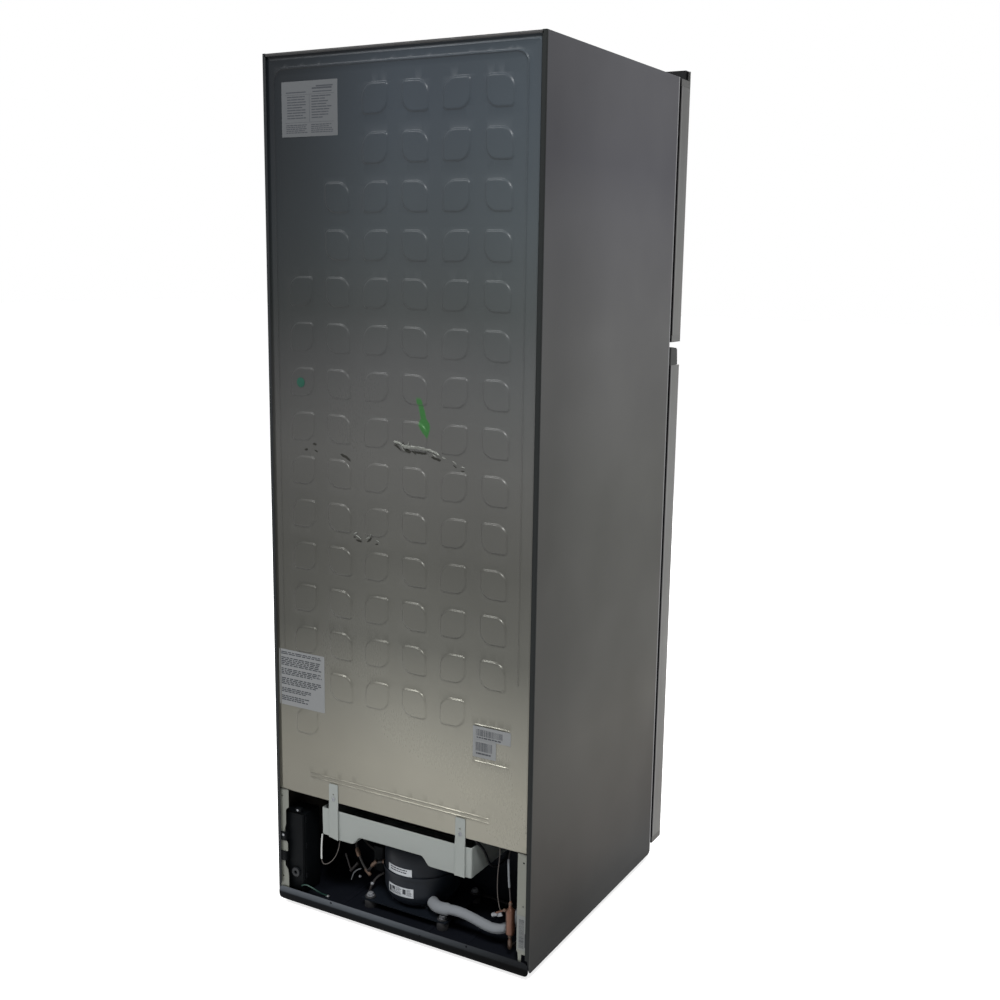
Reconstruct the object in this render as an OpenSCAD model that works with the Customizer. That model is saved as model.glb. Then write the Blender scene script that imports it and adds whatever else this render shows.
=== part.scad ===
// Two-door refrigerator with the freezer on top.
// Front faces -Y, +X is on the right seen from the front, the floor is z = 0, millimetres.

/* [Cabinet] */
// Width across the side panels
cabinet_w = 600; // [580:5:680]
// Depth from the front frame to the rear edge of the side panels
cabinet_d = 587; // [570:1:660]
// Height of the side panels
side_h = 1697; // [1660:1:1800]
// Space between the floor and the side panels
ground_gap = 16; // [14:1:30]
// Thickness of the steel sheet
sheet_t = 1; // [0.8:0.1:1.5]
// Width of the side panel's front return
front_flange_w = 26; // [22:1:30]
// Width of the side panel's rear return
rear_flange_w = 6; // [5:0.5:14]
// Height of the top panel's rear return
top_flange_h = 6; // [5:1:16]
// Radius of the side panel's lower front corner
side_corner_r = 12; // [4:1:16]

/* [Insulation and liners] */
// Wall between the freezer liner and the outside
freezer_wall = 60; // [54:1:70]
// Wall between the fridge liner and the outside
fridge_wall = 45; // [40:1:56]
// Insulation behind the freezer liner
freezer_back_wall = 70; // [60:1:80]
// Insulation behind the fridge liner
fridge_back_wall = 45; // [40:1:60]
// Height of the insulated bar between the two compartments
mullion_h = 64; // [60:1:80]
// Thickness of the plastic liners
liner_t = 2; // [1.5:0.1:3]
// Height of the fridge floor above the side panel's lower edge
fridge_floor_h = 79; // [72:1:100]
// Height of the foam's underside above the side panel's lower edge
foam_floor_h = 44; // [40:1:50]

/* [Machine bay] */
// Height of the bay's top edge above the side panel's lower edge
bay_h = 241; // [241:1:280]
// Depth of the bay from the rear
bay_d = 200; // [200:1:220]
// Width of the galvanised strip on each side of the bay
bay_strip_w = 28; // [22:1:32]
// Height of the base's rear lip
base_lip_h = 28; // [24:1:32]
// How far the base hangs below the side panels
base_drop = 6; // [4:1:8]
// Height of the base floor above the bottom of its lip
base_floor_h = 14; // [12:1:18]

/* [Rear panel] */
// How far the rear panel lies in front of the rear returns
panel_recess = 4.5; // [4:0.1:6]
// Distance between the rows of embossed leaves
leaf_pitch = 86; // [80:1:95]
// Width and height of a leaf
leaf_size = 58; // [50:1:64]
// Radius of a leaf's two round corners
leaf_round_r = 26; // [20:1:28]
// Radius of a leaf's two sharper corners
leaf_corner_r = 9; // [6:1:12]
// Height of the embossing
emboss_h = 1.5; // [1:0.1:2]
// Distance from the cabinet's top to the middle of the top row of leaves
leaf_top_inset = 91; // [90:1:120]
// Inset of the first column of leaves from the cabinet's side
leaf_inset_right = 82; // [80:1:86]
// Inset of the last column of leaves from the cabinet's side
leaf_inset_left = 88; // [80:1:92]
// Width of the embossed beads
bead_w = 6; // [4:0.5:8]
// Inset of the right bead from the cabinet's side
bead_inset_right = 26; // [22:0.5:30]
// Inset of the left bead from the cabinet's side
bead_inset_left = 34.5; // [30:0.5:38]
// Inset of the top bead from the cabinet's top
bead_inset_top = 29; // [24:1:34]

/* [Doors] */
// Thickness of a door
door_t = 54; // [50:1:64]
// Space between the door's back and the cabinet
gasket_gap = 9; // [8:0.5:12]
// Width of the gasket
gasket_w = 16; // [12:1:18]
// Inset of the gasket from the door's sides
gasket_inset = 26; // [24:1:28]
// Clearance between the gasket and the cabinet
gasket_clear = 0.3; // [0.2:0.1:0.5]
// Height of the freezer door
freezer_door_h = 537; // [500:1:560]
// Gap between the two doors
door_gap = 10; // [9:0.5:14]
// Height of the fridge door's lower edge above the side panel's lower edge
door_floor_gap = 19.5; // [18:0.5:24]
// Height of the dark grip cap on top of the fridge door
grip_cap_h = 39; // [34:1:46]
// How far the grip cap stands back from the door's front
grip_setback = 17; // [14:1:20]
// Height of the freezer door's raised front edge
lip_h = 20; // [16:1:24]
// Thickness of the raised front edge with its cap
lip_t = 15; // [12:1:15]
// Thickness of the door's steel skin
skin_t = 1; // [0.8:0.1:1.5]
// Height of the plastic caps at the door's ends
door_cap_h = 14; // [12:1:20]
// Radius of the door's long front edges
door_edge_r = 7; // [4:0.5:10]
// How far the door liner's ridge reaches into the cabinet
ridge_h = 32; // [24:1:36]
// Width of the door liner's ridge
ridge_w = 10; // [8:1:14]
// Space between the ridge and the compartment's walls
ridge_clear = 12; // [10:1:16]
// Depth of a door bin from the door's back
bin_d = 96; // [80:1:98]
// Wall of a door bin
bin_t = 2.5; // [2:0.5:4]
// Height of the small door bins
bin_h = 80; // [60:1:90]
// Height of the bottle bin
bottle_bin_h = 120; // [100:1:140]
// Distance between the two freezer bins
freezer_bin_pitch = 210; // [190:1:230]
// Distance from the bottle bin to the first small bin
bottle_space = 330; // [300:1:340]
// Distance between the small bins
bin_pitch = 230; // [210:1:235]

/* [Hinges] */
// Distance of the hinge pin from the door's side
hinge_inset = 22; // [21:0.5:24]
// Radius of the hinge pins
pin_r = 4; // [3.5:0.1:5]
// Radial clearance of a pin in its bore
pin_fit = 0.05; // [0.02:0.01:0.08]
// How deep a pin reaches into its door
pin_reach = 12; // [9:1:12]
// Thickness of the hinge plates
plate_t = 3; // [2.5:0.1:4]
// Width of the hinge plates
plate_w = 22; // [18:1:24]

/* [Freezer fittings] */
// Distance from the freezer liner's rear wall to the front of the evaporator cover
duct_cover_d = 66; // [62:1:80]
// Thickness of the glass shelves
glass_t = 4; // [3:0.5:6]
// Clearance of a shelf from the liner's walls
shelf_clear = 2; // [1:0.5:4]
// Height of the freezer shelf above the freezer floor
freezer_shelf_h = 215; // [200:1:240]
// Width of a shelf ledge on the liner
ledge_w = 9; // [7:1:12]
// Width of the ice tray
ice_tray_w = 96; // [80:1:98]
// Length of the ice tray
ice_tray_l = 220; // [180:1:230]
// Height of the ice tray
ice_tray_h = 30; // [24:1:34]
// Distance of the ice tray from the cabinet's front
tray_setback = 110; // [100:1:120]
// Radius of the evaporator fan
fan_r = 52; // [40:1:54]
// Distance from the freezer's ceiling to the middle of the fan
fan_drop = 110; // [90:1:130]

/* [Fridge fittings] */
// Height of the lowest glass shelf above the crisper cover
first_shelf_h = 200; // [180:1:210]
// Distance between the glass shelves
shelf_pitch = 195; // [170:1:200]
// Distance of the shelves' front edge from the cabinet's front
shelf_setback = 112; // [106:1:130]
// Depth of the air duct at the back of the fridge
duct_t = 28; // [20:1:34]
// Half the width of the air duct
duct_half_w = 70; // [50:1:90]
// Height of the crisper drawers
crisper_h = 205; // [180:1:205]
// Wall of the crisper drawers
crisper_t = 2.5; // [2:0.5:4]
// Space between a crisper and the liner's side wall
crisper_side = 14; // [13:1:24]
// Space between the two crispers
crisper_gap = 12; // [8:1:20]
// Distance of the crispers' front from the cabinet's front
crisper_setback = 101; // [98:1:110]
// Height of the control box
control_h = 44; // [36:1:56]
// Width of the control box
control_w = 220; // [180:1:260]
// Depth of the control box
control_d = 180; // [150:1:200]
// Distance of the control box from the cabinet's front
control_setback = 142; // [130:1:160]

/* [Cooling] */
// Radius of the warm pipe behind the side panels
coil_r = 2.4; // [2:0.1:3]
// Distance between the runs of the warm pipe
coil_pitch = 88; // [84:1:89]
// Distance of the first run from the cabinet's front
coil_inset = 70; // [60:1:70]
// Radius of the compressor's shell
compressor_r = 78; // [66:1:82]
// Height of the compressor's shell
compressor_h = 140; // [120:1:144]
// Distance of the compressor's middle from the rear
comp_rear = 110; // [105:1:115]
// Distance between the compressor's bolts across the cabinet
bolt_span_x = 176; // [170:1:200]
// Distance between the compressor's bolts along the cabinet
bolt_span_y = 126; // [110:1:130]
// Length of the drip pan across the cabinet
pan_w = 357; // [300:1:380]
// Depth of the drip pan
pan_d = 150; // [120:1:160]
// Height of the drip pan's rear wall
pan_h = 64; // [56:1:70]
// Wall of the drip pan
pan_t = 2; // [1.5:0.5:3]
// Gap between the drip pan and the rear panel's lower edge
pan_gap = 18.5; // [14:0.5:22]
// Rise of the pan's floor over the compressor
pan_rise = 18; // [14:1:19]
// Width of a pan strap
strap_w = 23; // [18:1:28]
// Radius of the filter drier
drier_r = 9; // [8:0.5:11]
// Radius of the refrigerant pipes
pipe_r = 3.2; // [2.5:0.1:4]
// Radius of the foam sleeve
sleeve_r = 12; // [10:0.5:13]

/* [Feet and rollers] */
// Radius of the front feet's pads
foot_r = 18; // [14:1:20]
// Radius of a foot's thread
foot_thread_r = 5; // [4:0.5:6]
// Radius of the rear rollers
roller_r = 9.5; // [8:0.1:9.6]
// Width of the rear rollers
roller_w = 14; // [12:1:18]

/* [Hidden] */
$fn = 48;

// planes of the cabinet and the doors
total_d = cabinet_d + gasket_gap + door_t;
y_rear = total_d / 2;
y_cab = y_rear - cabinet_d;
y_back = y_cab - gasket_gap;        // the doors' back faces
y_door = y_back - door_t;           // the doors' front faces
x_side = cabinet_w / 2;
x_in = x_side - sheet_t;
z_side = ground_gap;
z_top = z_side + side_h;
z_fd = z_top - freezer_door_h;      // freezer door's lower edge
z_fd_top = z_top - 1.5;             // freezer door's flat top
z_rd_top = z_fd - door_gap;         // top of the fridge door's grip cap
z_rd = z_side + door_floor_gap;     // fridge door's lower edge
z_ledge = z_rd_top - grip_cap_h;

// compartments
z_mid = z_fd - door_gap / 2;
x_fz = x_side - freezer_wall;
z_fz0 = z_mid + mullion_h / 2;
z_fz1 = z_top - freezer_wall;
y_fz = y_rear - freezer_back_wall;
x_fr = x_side - fridge_wall;
z_fr0 = z_side + fridge_floor_h;
z_fr1 = z_mid - mullion_h / 2;
y_fr = y_rear - fridge_back_wall;
y_liner = y_cab + sheet_t;
z_foam = z_side + foam_floor_h;
z_bay = z_side + bay_h;
y_bay = y_rear - bay_d;
y_bump = y_bay - fridge_wall + liner_t;
z_bump = z_bay + fridge_wall;
z_base0 = z_side - base_drop;
z_base = z_base0 + base_floor_h;    // underside of the base floor
base_t = 2;
rail_t = 2;
z_floor = z_base + base_t;          // top of the base floor

// rear panel
y_panel = y_rear - panel_recess;
y_foam = y_panel - sheet_t;
double_bead_z = [z_bay + 42, z_bay + 50];
double_bead_x = x_side - 93;
short_bead_z = [z_side + 404, z_side + 474];
short_bead_x = 128 - x_side;
short_bead_l = 75;
label_t = 0.3;
label_z0 = z_side + 426;            // the big label near the lower edge
label_z1 = label_z0 + 118;
z_blank = z_side + 380;             // no leaves below here

// hinges
pin_x = x_side - hinge_inset;
pin_y = (y_back + y_door) / 2;
bush_r = pin_r + pin_fit;
plate_x1 = pin_x + 8;

// freezer fittings
y_cover = y_fz - duct_cover_d;
cover_t = 4;
z_fan = z_fz1 - fan_drop;
z_fz_shelf = z_fz0 + freezer_shelf_h;
tray_sweep = norm([ice_tray_w, ice_tray_h]) / 2 + 3;
tray_x = -(x_fz - tray_sweep - 4);
tray_z = z_fz1 - tray_sweep - 4;
tray_y0 = y_cab + tray_setback;
tray_y1 = tray_y0 + ice_tray_l;

// fridge fittings
y_shelf = y_cab + shelf_setback;
z_cover = z_fr0 + crisper_h + 8;
shelf_zs = [for (z = [z_cover + first_shelf_h : shelf_pitch : z_fr1 - control_h - 60]) z];
crisper_x0 = crisper_gap / 2;
crisper_x1 = x_fr - crisper_side;
crisper_y0 = y_cab + crisper_setback;
crisper_y1 = y_bump - 5;
crisper_lift = 3;
control_x = control_w / 2;
control_y0 = y_cab + control_setback;
control_y1 = control_y0 + control_d;
knob_x = control_x - 48;
knob_z = z_fr1 - control_h / 2;
knob_r = 15;
knob_shaft_r = 3;

// machine bay
comp_x = 8;
comp_y = y_rear - comp_rear;
z_comp = z_floor + 20;
mount_t = 3;
grommet_r = 12;
bolt_r = 4;
pan_x = 7.5;
pan_x0 = pan_x - pan_w / 2;
pan_x1 = pan_x + pan_w / 2;
pan_y0 = y_panel - pan_d;
pan_z1 = z_bay - pan_gap;
pan_z0 = pan_z1 - pan_h;
pan_z_rise = pan_z0 + pan_rise;
arch_x = 18.5;
arch_half_w = 73.5;
arch_slope = 20;
strap_xs = [155.5, -145.5];
strap_t = 1.5;
strap_top = z_bay + 38;
drier_pos = [54 - x_side, y_rear - 25];
drier_z = z_floor + 48;
drier_len = 50;
cap_pos = [97 - x_side, y_rear - 32, z_floor + 72];
strip_x = x_in - bay_strip_w;
cover_x1 = x_in - rail_t - 13;
cover_x0 = cover_x1 - 44;
cover_z1 = z_side + 192;
cover_z0 = z_floor + 6;
cover_y0 = y_panel - 62;
cover_y1 = y_panel - 10;
gland_z = cover_z0 + 40;
gland_r = 7;

// doors
gasket_x1 = x_side - gasket_inset;
fz_ridge_x = x_fz - ridge_clear;
fr_ridge_x = x_fr - ridge_clear;

// feet and rollers
foot_x = x_side - 35;
foot_y = y_cab + 26;
roller_x = x_side - 32;
roller_y = y_rear - 40;
axle_r = 2.5;

// Lines in the bay, with hand-chosen points: [across, distance from the rear, height]. A height below zero
// is measured down from the bay's top, and another one up from the base floor.
function in_bay(points) = [for (p = points)
    [p[0], y_rear - p[1], p[2] < 0 ? z_bay + p[2] : z_floor + p[2]]];
// Point on the compressor's shell, at an angle and a height
function port(a, out, h) = [comp_x + (compressor_r + out) * cos(a),
    comp_rear - (compressor_r + out) * sin(a), h];
discharge_points = in_bay([port(27, -1.5, 92), [94, 62, 90], [108, 66, 74], [119, 71, 58], [134, 74, 71],
    [149, 77, 92], [162, 88, 108], [182, 124, 118], [x_side - 98, 165, 134], [x_side - 98, 163, -47],
    [x_side - 98, 135, -13], [190, 105, -6], [176, 95, -11], [175, 95, -26]]);
return_points = in_bay([[170, 119, -26], [172, 121, -11], [188, 129, -6], [x_side - 88, 145, -17], [x_side
    - 78, 165, -67], [x_side - 78, 175, 84], [190, 191, 34], [60, 194, 7], [-120, 194, 7], [85 - x_side,
    165, 14], [54 - x_side, 95, 14], [54 - x_side, 25, 18], [54 - x_side, 25, 38]]);
suction_points = in_bay([port(138, 0.7, 44), [-62.4, 46.6, 45], [-76, 41.5, 46], [-92, 40, 48.5],
    [-112, 40, 51.5], [-132, 40, 51], [-152, 39.5, 48], [-172, 39, 43.5], [106 - x_side, 38, 40],
    [84 - x_side, 39, 41], [66 - x_side, 55, 48], [60 - x_side, 95, 70], [60 - x_side, 135, 124],
    [60 - x_side, 160, -45], [60 - x_side, 165, -23], [60 - x_side, 165, -9], [60 - x_side, 165, -1]]);
capillary_points = in_bay([[54 - x_side, 25, 110], [55 - x_side, 24, 134], [59 - x_side, 24, -67], [62 -
    x_side, 28, -35], [64 - x_side, 39, -19], [64 - x_side, 43, -11], [64 - x_side, 43, -5], [64 - x_side,
    43, -1]]);
capillary_sleeve_points = in_bay([[54.4 - x_side, 24.6, 124], [57 - x_side, 24, -83], [60 - x_side, 25.5,
    -51], [62 - x_side, 29, -33]]);
process_points = in_bay([[54 - x_side, 25, 96], [68 - x_side, 27, 92], [82 - x_side, 29, 84], [94 -
    x_side, 31.5, 74]]);
pan_pipe_points = in_bay([[175, 95, -26], [155, 99, -38], [128, 101, -53], [96, 102, -56], [-60, 102,
    -56], [-82, 109, -56], [-82, 119, -56], [-60, 126, -56], [90, 126, -56], [118, 123, -53], [145, 121,
    -38], [170, 119, -26]]);
drain_points = in_bay([[44, 139, -1], [44, 139, -7], [44, 139, -11], [45, 138, -21], [46, 139, -31]]);
lead_end = pan_z0 - z_bay - 0.2;    // just under the pan
white_lead_points = in_bay([[183, 13, lead_end], [183, 13, lead_end - 5], [190, 14, 124], [193, 15, 94],
    [190, 16, 78], [180, 17, 74], [166, 17, 86], [154, 16, 110], [150, 14, 132], [150, 14, lead_end - 7],
    [150, 14, lead_end]]);
black_lead_points = in_bay([[-178, 85, -1], [-178, 85, -5], [-178, 57, -15], [-184, 35, -31], [-188, 25,
    -51], [-190, 29, -73], [-196, 55, 142], [100 - x_side, 95, -87], [-198, 145, -67], [-190, 175, -27],
    [-186, 179, -9], [-186, 179, -1]]);
earth_points = in_bay([[cover_x0 + 8, 12.8, 18], [cover_x0 - 4, 11, 25], [cover_x0 - 20, 12, 21],
    [cover_x0 - 33, 18, 12], [201, 25, 5], [194, 31, 1.6]]);

// ---- helpers ----

// Box between two opposite corners
module block(a, b) { translate(a) cube(b - a); }

// Flat outline in X and Z, made solid from y0 to y1
module along_y(y0, y1) {
    translate([0, y1, 0]) rotate([90, 0, 0]) linear_extrude(y1 - y0) children();
}

// Flat outline in Y and Z, made solid from x0 to x1
module along_x(x0, x1) { translate([x0, 0, 0]) rotate([90, 0, 90]) linear_extrude(x1 - x0) children(); }

// Round bar along Y from y0 to y1
module bar_y(x, z, y0, y1, r) { translate([x, y1, z]) rotate([90, 0, 0]) cylinder(h = y1 - y0, r = r); }

// Round bar along X from x0 to x1
module bar_x(x0, x1, y, z, r) { translate([x0, y, z]) rotate([0, 90, 0]) cylinder(h = x1 - x0, r = r); }

// Round bar along Z from z0 to z1
module bar_z(x, y, z0, z1, r) { translate([x, y, z0]) cylinder(h = z1 - z0, r = r); }

// The same thing on the left and on the right
module both_sides() { children(); mirror([1, 0, 0]) children(); }

// Rectangle between two corners
module rect(a, b) { translate(a) square(b - a); }

// Rectangle with round corners, about its centre
module round_rect(w, h, r) {
    square([w - 2 * r, h], center = true);
    square([w, h - 2 * r], center = true);
    for (sx = [-1, 1], sy = [-1, 1]) translate([sx * (w / 2 - r), sy * (h / 2 - r)]) circle(r);
}

// Points of a quarter circle that starts at angle a
function arc(c, r, a, n = 5) = [for (i = [0 : n]) c + r * [cos(a + 90 * i / n), sin(a + 90 * i / n)]];

function unit(v) = v / norm(v);
function side_of(t) = unit(cross(t, abs(t.z) < 0.9 ? [0, 0, 1] : [1, 0, 0]));

// A polyline with each corner rounded as a quadratic curve
function smooth(p, n = 3) = concat([p[0]],
    [for (i = [1 : len(p) - 2], k = [0 : n])
        let (a = (p[i - 1] + p[i]) / 2, b = (p[i] + p[i + 1]) / 2, t = (k + 0.5) / (n + 1))
        (1 - t) * (1 - t) * a + 2 * t * (1 - t) * p[i] + t * t * b],
    [p[len(p) - 1]]);

// Round tube swept along points
module tube(path, r, sides = 8) {
    last = len(path) - 1;
    ts = [for (i = [0 : last]) unit(path[min(i + 1, last)] - path[max(i - 1, 0)])];
    ns = [for (i = 0, n = side_of(ts[0]); i <= last;
        i = i + 1, n = i <= last ? unit(n - (n * ts[i]) * ts[i]) : n) n];
    rings = [for (i = [0 : last], k = [0 : sides - 1])
        path[i] + r * (cos(360 * k / sides) * ns[i] + sin(360 * k / sides) * cross(ts[i], ns[i]))];
    walls = [for (i = [0 : last - 1], k = [0 : sides - 1])
        let (a = i * sides + k, b = i * sides + (k + 1) % sides, c = b + sides, d = a + sides)
        each [[a, d, c], [a, c, b]]];
    ends = [[for (k = [0 : sides - 1]) k], [for (k = [sides - 1 : -1 : 0]) last * sides + k]];
    polyhedron(rings, concat(walls, ends));
}

// ---- cabinet ----

// Side panel at +X: sheet with a return at the front and at the rear
module side_panel() {
    color("#4c4e52") {
        difference() {
            block([x_in, y_cab, z_side], [x_side, y_rear, z_top]);
            along_x(x_in - 1, x_side + 1) difference() {
                rect([y_cab - 1, z_side - 1], [y_cab + side_corner_r, z_side + side_corner_r]);
                translate([y_cab + side_corner_r, z_side + side_corner_r]) circle(side_corner_r);
            }
        }
        block([x_side - front_flange_w, y_cab, z_side + side_corner_r], [x_in, y_cab + sheet_t, z_top]);
        block([x_side - rear_flange_w, y_rear - sheet_t, z_side + base_lip_h],
            [x_in, y_rear, z_top - sheet_t]);
    }
}
module side_panel_right() { side_panel(); }
module side_panel_left() { mirror([1, 0, 0]) side_panel(); }

module top_panel() {
    color("#2b2d30") {
        block([-x_in, y_cab + sheet_t, z_top - sheet_t], [x_in, y_rear, z_top]);
        block([rear_flange_w - x_side, y_rear - sheet_t, z_top - top_flange_h],
            [x_side - rear_flange_w, y_rear, z_top - sheet_t]);
    }
}

// Outline of one leaf: two opposite corners are round, the other two nearly square
function leaf(s, round_r, corner_r) = concat(
    arc([s / 2 - round_r, s / 2 - round_r], round_r, 0),
    arc([corner_r - s / 2, s / 2 - corner_r], corner_r, 90, 2),
    arc([round_r - s / 2, round_r - s / 2], round_r, 180),
    arc([s / 2 - corner_r, corner_r - s / 2], corner_r, 270, 2));

// Each column of leaves: its first row, and what its leaves stay above
leaf_columns = [[4, label_z1], [2, z_blank], [0, z_blank], [0, z_blank], [0, z_blank],
    [0, short_bead_z[1] + 2]];
leaf_step = (cabinet_w - leaf_inset_right - leaf_inset_left) / (len(leaf_columns) - 1);
leaf_row_z = z_top - leaf_top_inset;

// Number of the lowest row whose leaves stay above z
function last_row(z) = floor((leaf_row_z - leaf_size / 2 - z) / leaf_pitch);

module leaf_at(c, r) {
    translate([x_side - leaf_inset_right - c * leaf_step, leaf_row_z - r * leaf_pitch])
        mirror([c % 2, 0]) polygon(leaf(leaf_size, leaf_round_r, leaf_corner_r));
}

module leaves() {
    for (c = [0 : len(leaf_columns) - 1])
        for (r = [leaf_columns[c][0] : last_row(leaf_columns[c][1])]) leaf_at(c, r);
    // the lowest leaf of the first column shows only below the label
    intersection() {
        leaf_at(0, last_row(label_z0) + 1);
        rect([0, z_bay], [x_in, label_z0 - 2]);
    }
}

// Horizontal bead from x0 to x1
module bead_across(x0, x1, z) {
    block([x0, y_panel - sheet_t / 2, z - bead_w / 2 + 1], [x1, y_panel + emboss_h, z + bead_w / 2 - 1]);
}

module back_panel() {
    panel_z1 = z_top - sheet_t;
    bead_z0 = label_z1 + 4;
    bead_z1 = z_top - bead_inset_top;
    color("#7d7f80") {
        block([-x_in, y_foam, z_bay], [x_in, y_panel, panel_z1]);
        both_sides() block([x_side - rear_flange_w, y_panel, z_bay], [x_in, y_rear - sheet_t, panel_z1]);
        block([rear_flange_w - x_side, y_panel, z_top - top_flange_h],
            [x_side - rear_flange_w, y_rear - sheet_t, panel_z1]);
        along_y(y_panel - sheet_t / 2, y_panel + emboss_h) leaves();
        // the frame bead, the double bead near the lower edge and the short beads by the small label
        for (z = double_bead_z) bead_across(-double_bead_x, double_bead_x + 5, z);
        for (z = short_bead_z) bead_across(short_bead_x - short_bead_l, short_bead_x, z);
        bead_across(bead_inset_left - x_side, x_side - bead_inset_right, bead_z1);
        for (x = [x_side - bead_inset_right, bead_inset_left - x_side])
            block([x - bead_w / 2, y_panel - sheet_t / 2, bead_z0],
                [x + bead_w / 2, y_panel + emboss_h, bead_z1]);
    }
}

// Painted frame on the cabinet's front, with the bar between the compartments
module front_frame() {
    x1 = x_side - front_flange_w;
    color("#5a5c60") along_y(y_cab, y_cab + sheet_t) difference() {
        rect([-x1, z_side + side_corner_r], [x1, z_top]);
        rect([-x_fz, z_fz0], [x_fz, z_fz1]);
        rect([-x_fr, z_fr0], [x_fr, z_fr1]);
    }
}

// Pressed base: floor of the machine bay with its rear lip, side rails and the front rail
module base_frame() {
    rail_w = 24;
    y0 = y_cab + sheet_t;
    ear_z = z_base - 16;
    color("#1f2226") difference() {
        union() {
            block([-x_in, y_bay - 10, z_base], [x_in, y_rear - rail_t, z_floor]);
            // rear lip with round lower corners
            along_y(y_rear - rail_t, y_rear) difference() {
                rect([-x_in, z_base0], [x_in, z_base0 + base_lip_h]);
                for (s = [-1, 1]) translate([s * (x_in - side_corner_r), z_base0 + side_corner_r])
                    difference() {
                        rect([s > 0 ? 0 : -2 * side_corner_r, -2 * side_corner_r],
                            [s > 0 ? 2 * side_corner_r : 0, 0]);
                        circle(side_corner_r);
                    }
            }
            // side rails
            both_sides() {
                block([x_in - rail_t, y0, z_base], [x_in, y_rear - rail_t, z_foam]);
                block([x_in - rail_w, y0, z_base], [x_in, y_bay - 10, z_floor]);
            }
            // front rail and the blocks that carry the feet
            block([-x_in, y0, z_base], [x_in, y0 + rail_t, z_foam]);
            both_sides() block([foot_x - 14, y0, z_base], [x_in, foot_y + 14, z_base + 16]);
            // riser in front of the bay
            block([-x_in, y_bay - 10, z_base], [x_in, y_bay - 10 + rail_t, z_foam]);
            // ears of the rollers
            both_sides() for (x = [roller_x - roller_w / 2 - 3, roller_x + roller_w / 2 + 1])
                block([x, roller_y - 8, ear_z + 2], [x + 2, roller_y + 8, z_base]);
        }
        both_sides() {
            bar_z(foot_x, foot_y, z_base - 1, z_base + 17, foot_thread_r + pin_fit);
            bar_x(roller_x - 20, roller_x + 20, roller_y, roller_r, axle_r + pin_fit);
            bar_y(163, z_floor + 8, y_rear - rail_t - 1, y_rear + 1, 2.5);
        }
    }
}

module kick_plate() {
    color("#303236") block([side_corner_r - x_side, y_cab - 3, z_side + 2],
        [pin_x - 2 * plate_w, y_cab, z_foam - 14]);
}

// ---- insulation and liners ----

fridge_outline = [[y_liner, z_fr0], [y_bump, z_fr0], [y_bump, z_bump], [y_fr, z_bump], [y_fr, z_fr1],
    [y_liner, z_fr1]];
fridge_outline_outer = [[y_liner, z_fr0 - liner_t], [y_bump + liner_t, z_fr0 - liner_t],
    [y_bump + liner_t, z_bump - liner_t], [y_fr + liner_t, z_bump - liner_t],
    [y_fr + liner_t, z_fr1 + liner_t], [y_liner, z_fr1 + liner_t]];

module insulation() {
    color("#e8dfb8") difference() {
        along_x(-x_in, x_in) polygon([[y_liner, z_foam], [y_bay, z_foam], [y_bay, z_bay], [y_foam, z_bay],
            [y_foam, z_top - sheet_t], [y_liner, z_top - sheet_t]]);
        block([-x_fz - liner_t, y_cab, z_fz0 - liner_t],
            [x_fz + liner_t, y_fz + liner_t, z_fz1 + liner_t]);
        along_x(-x_fr - liner_t, x_fr + liner_t) union() {
            polygon(fridge_outline_outer);
            rect([y_cab, z_fr0 - liner_t], [y_liner + 1, z_fr1 + liner_t]);
        }
    }
}

// Ledge along a side wall that carries a shelf whose underside is at z
module ledge(x, y0, y1, z) { block([x - ledge_w, y0, z - 6], [x, y1, z]); }

module freezer_liner() {
    color("#eef1f2") {
        difference() {
            block([-x_fz - liner_t, y_liner, z_fz0 - liner_t],
                [x_fz + liner_t, y_fz + liner_t, z_fz1 + liner_t]);
            block([-x_fz, y_cab, z_fz0], [x_fz, y_fz, z_fz1]);
        }
        both_sides() ledge(x_fz, y_shelf, y_cover, z_fz_shelf);
    }
}

module fridge_liner() {
    color("#eef1f2") {
        difference() {
            along_x(-x_fr - liner_t, x_fr + liner_t) polygon(fridge_outline_outer);
            along_x(-x_fr, x_fr) union() {
                polygon(fridge_outline);
                rect([y_cab, z_fr0], [y_liner + 1, z_fr1]);
            }
        }
        both_sides() {
            for (z = shelf_zs) ledge(x_fr, y_shelf, y_fr, z);
            ledge(x_fr, y_shelf, y_fr, z_cover);
        }
        // rails that the crispers slide on
        for (x = [crisper_x0 + 30, crisper_x1 - 30]) both_sides()
            block([x - 4, crisper_y0, z_fr0], [x + 4, crisper_y1, z_fr0 + crisper_lift - 0.3]);
    }
}

// Warm pipe foamed in behind each side panel
module condenser_coil() {
    x = x_in - coil_r;
    z1 = z_top - 90;
    runs = floor((cabinet_d - 2 * coil_inset) / coil_pitch);
    ys = [for (i = [0 : runs]) y_cab + coil_inset + i * coil_pitch];
    turn = 30;
    function z0(y) = 60 + (y > y_bay - 20 ? z_bay : z_foam);
    // each run goes up, then down, with a wide turn at its end
    path = [for (i = [0 : runs]) let (up = i % 2 == 0)
        each [[x, ys[i], up ? z0(ys[i]) + turn : z1 - turn], [x, ys[i], up ? z1 - turn : z0(ys[i]) + turn],
            if (i < runs) [x, (ys[i] + ys[i + 1]) / 2, up ? z1 : z0(ys[i + 1])]]];
    color("#8d5a3c") both_sides() tube(smooth(path, 2), coil_r, 6);
}

// ---- freezer fittings ----

module evaporator_cover() {
    slot_w = 34;
    color("#f4f6f6") difference() {
        block([-x_fz, y_cover, z_fz0], [x_fz, y_cover + cover_t, z_fz1]);
        along_y(y_cover - 1, y_cover + cover_t + 1) {
            for (i = [-4 : 4]) translate([i * (slot_w + 8), z_fz0 + 22]) square([slot_w, 10], center = true);
            for (i = [-2 : 2], k = [0, 1])
                translate([i * (slot_w + 8), z_fan + (k * 2 - 1) * 12]) square([slot_w, 9], center = true);
        }
    }
}

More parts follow.
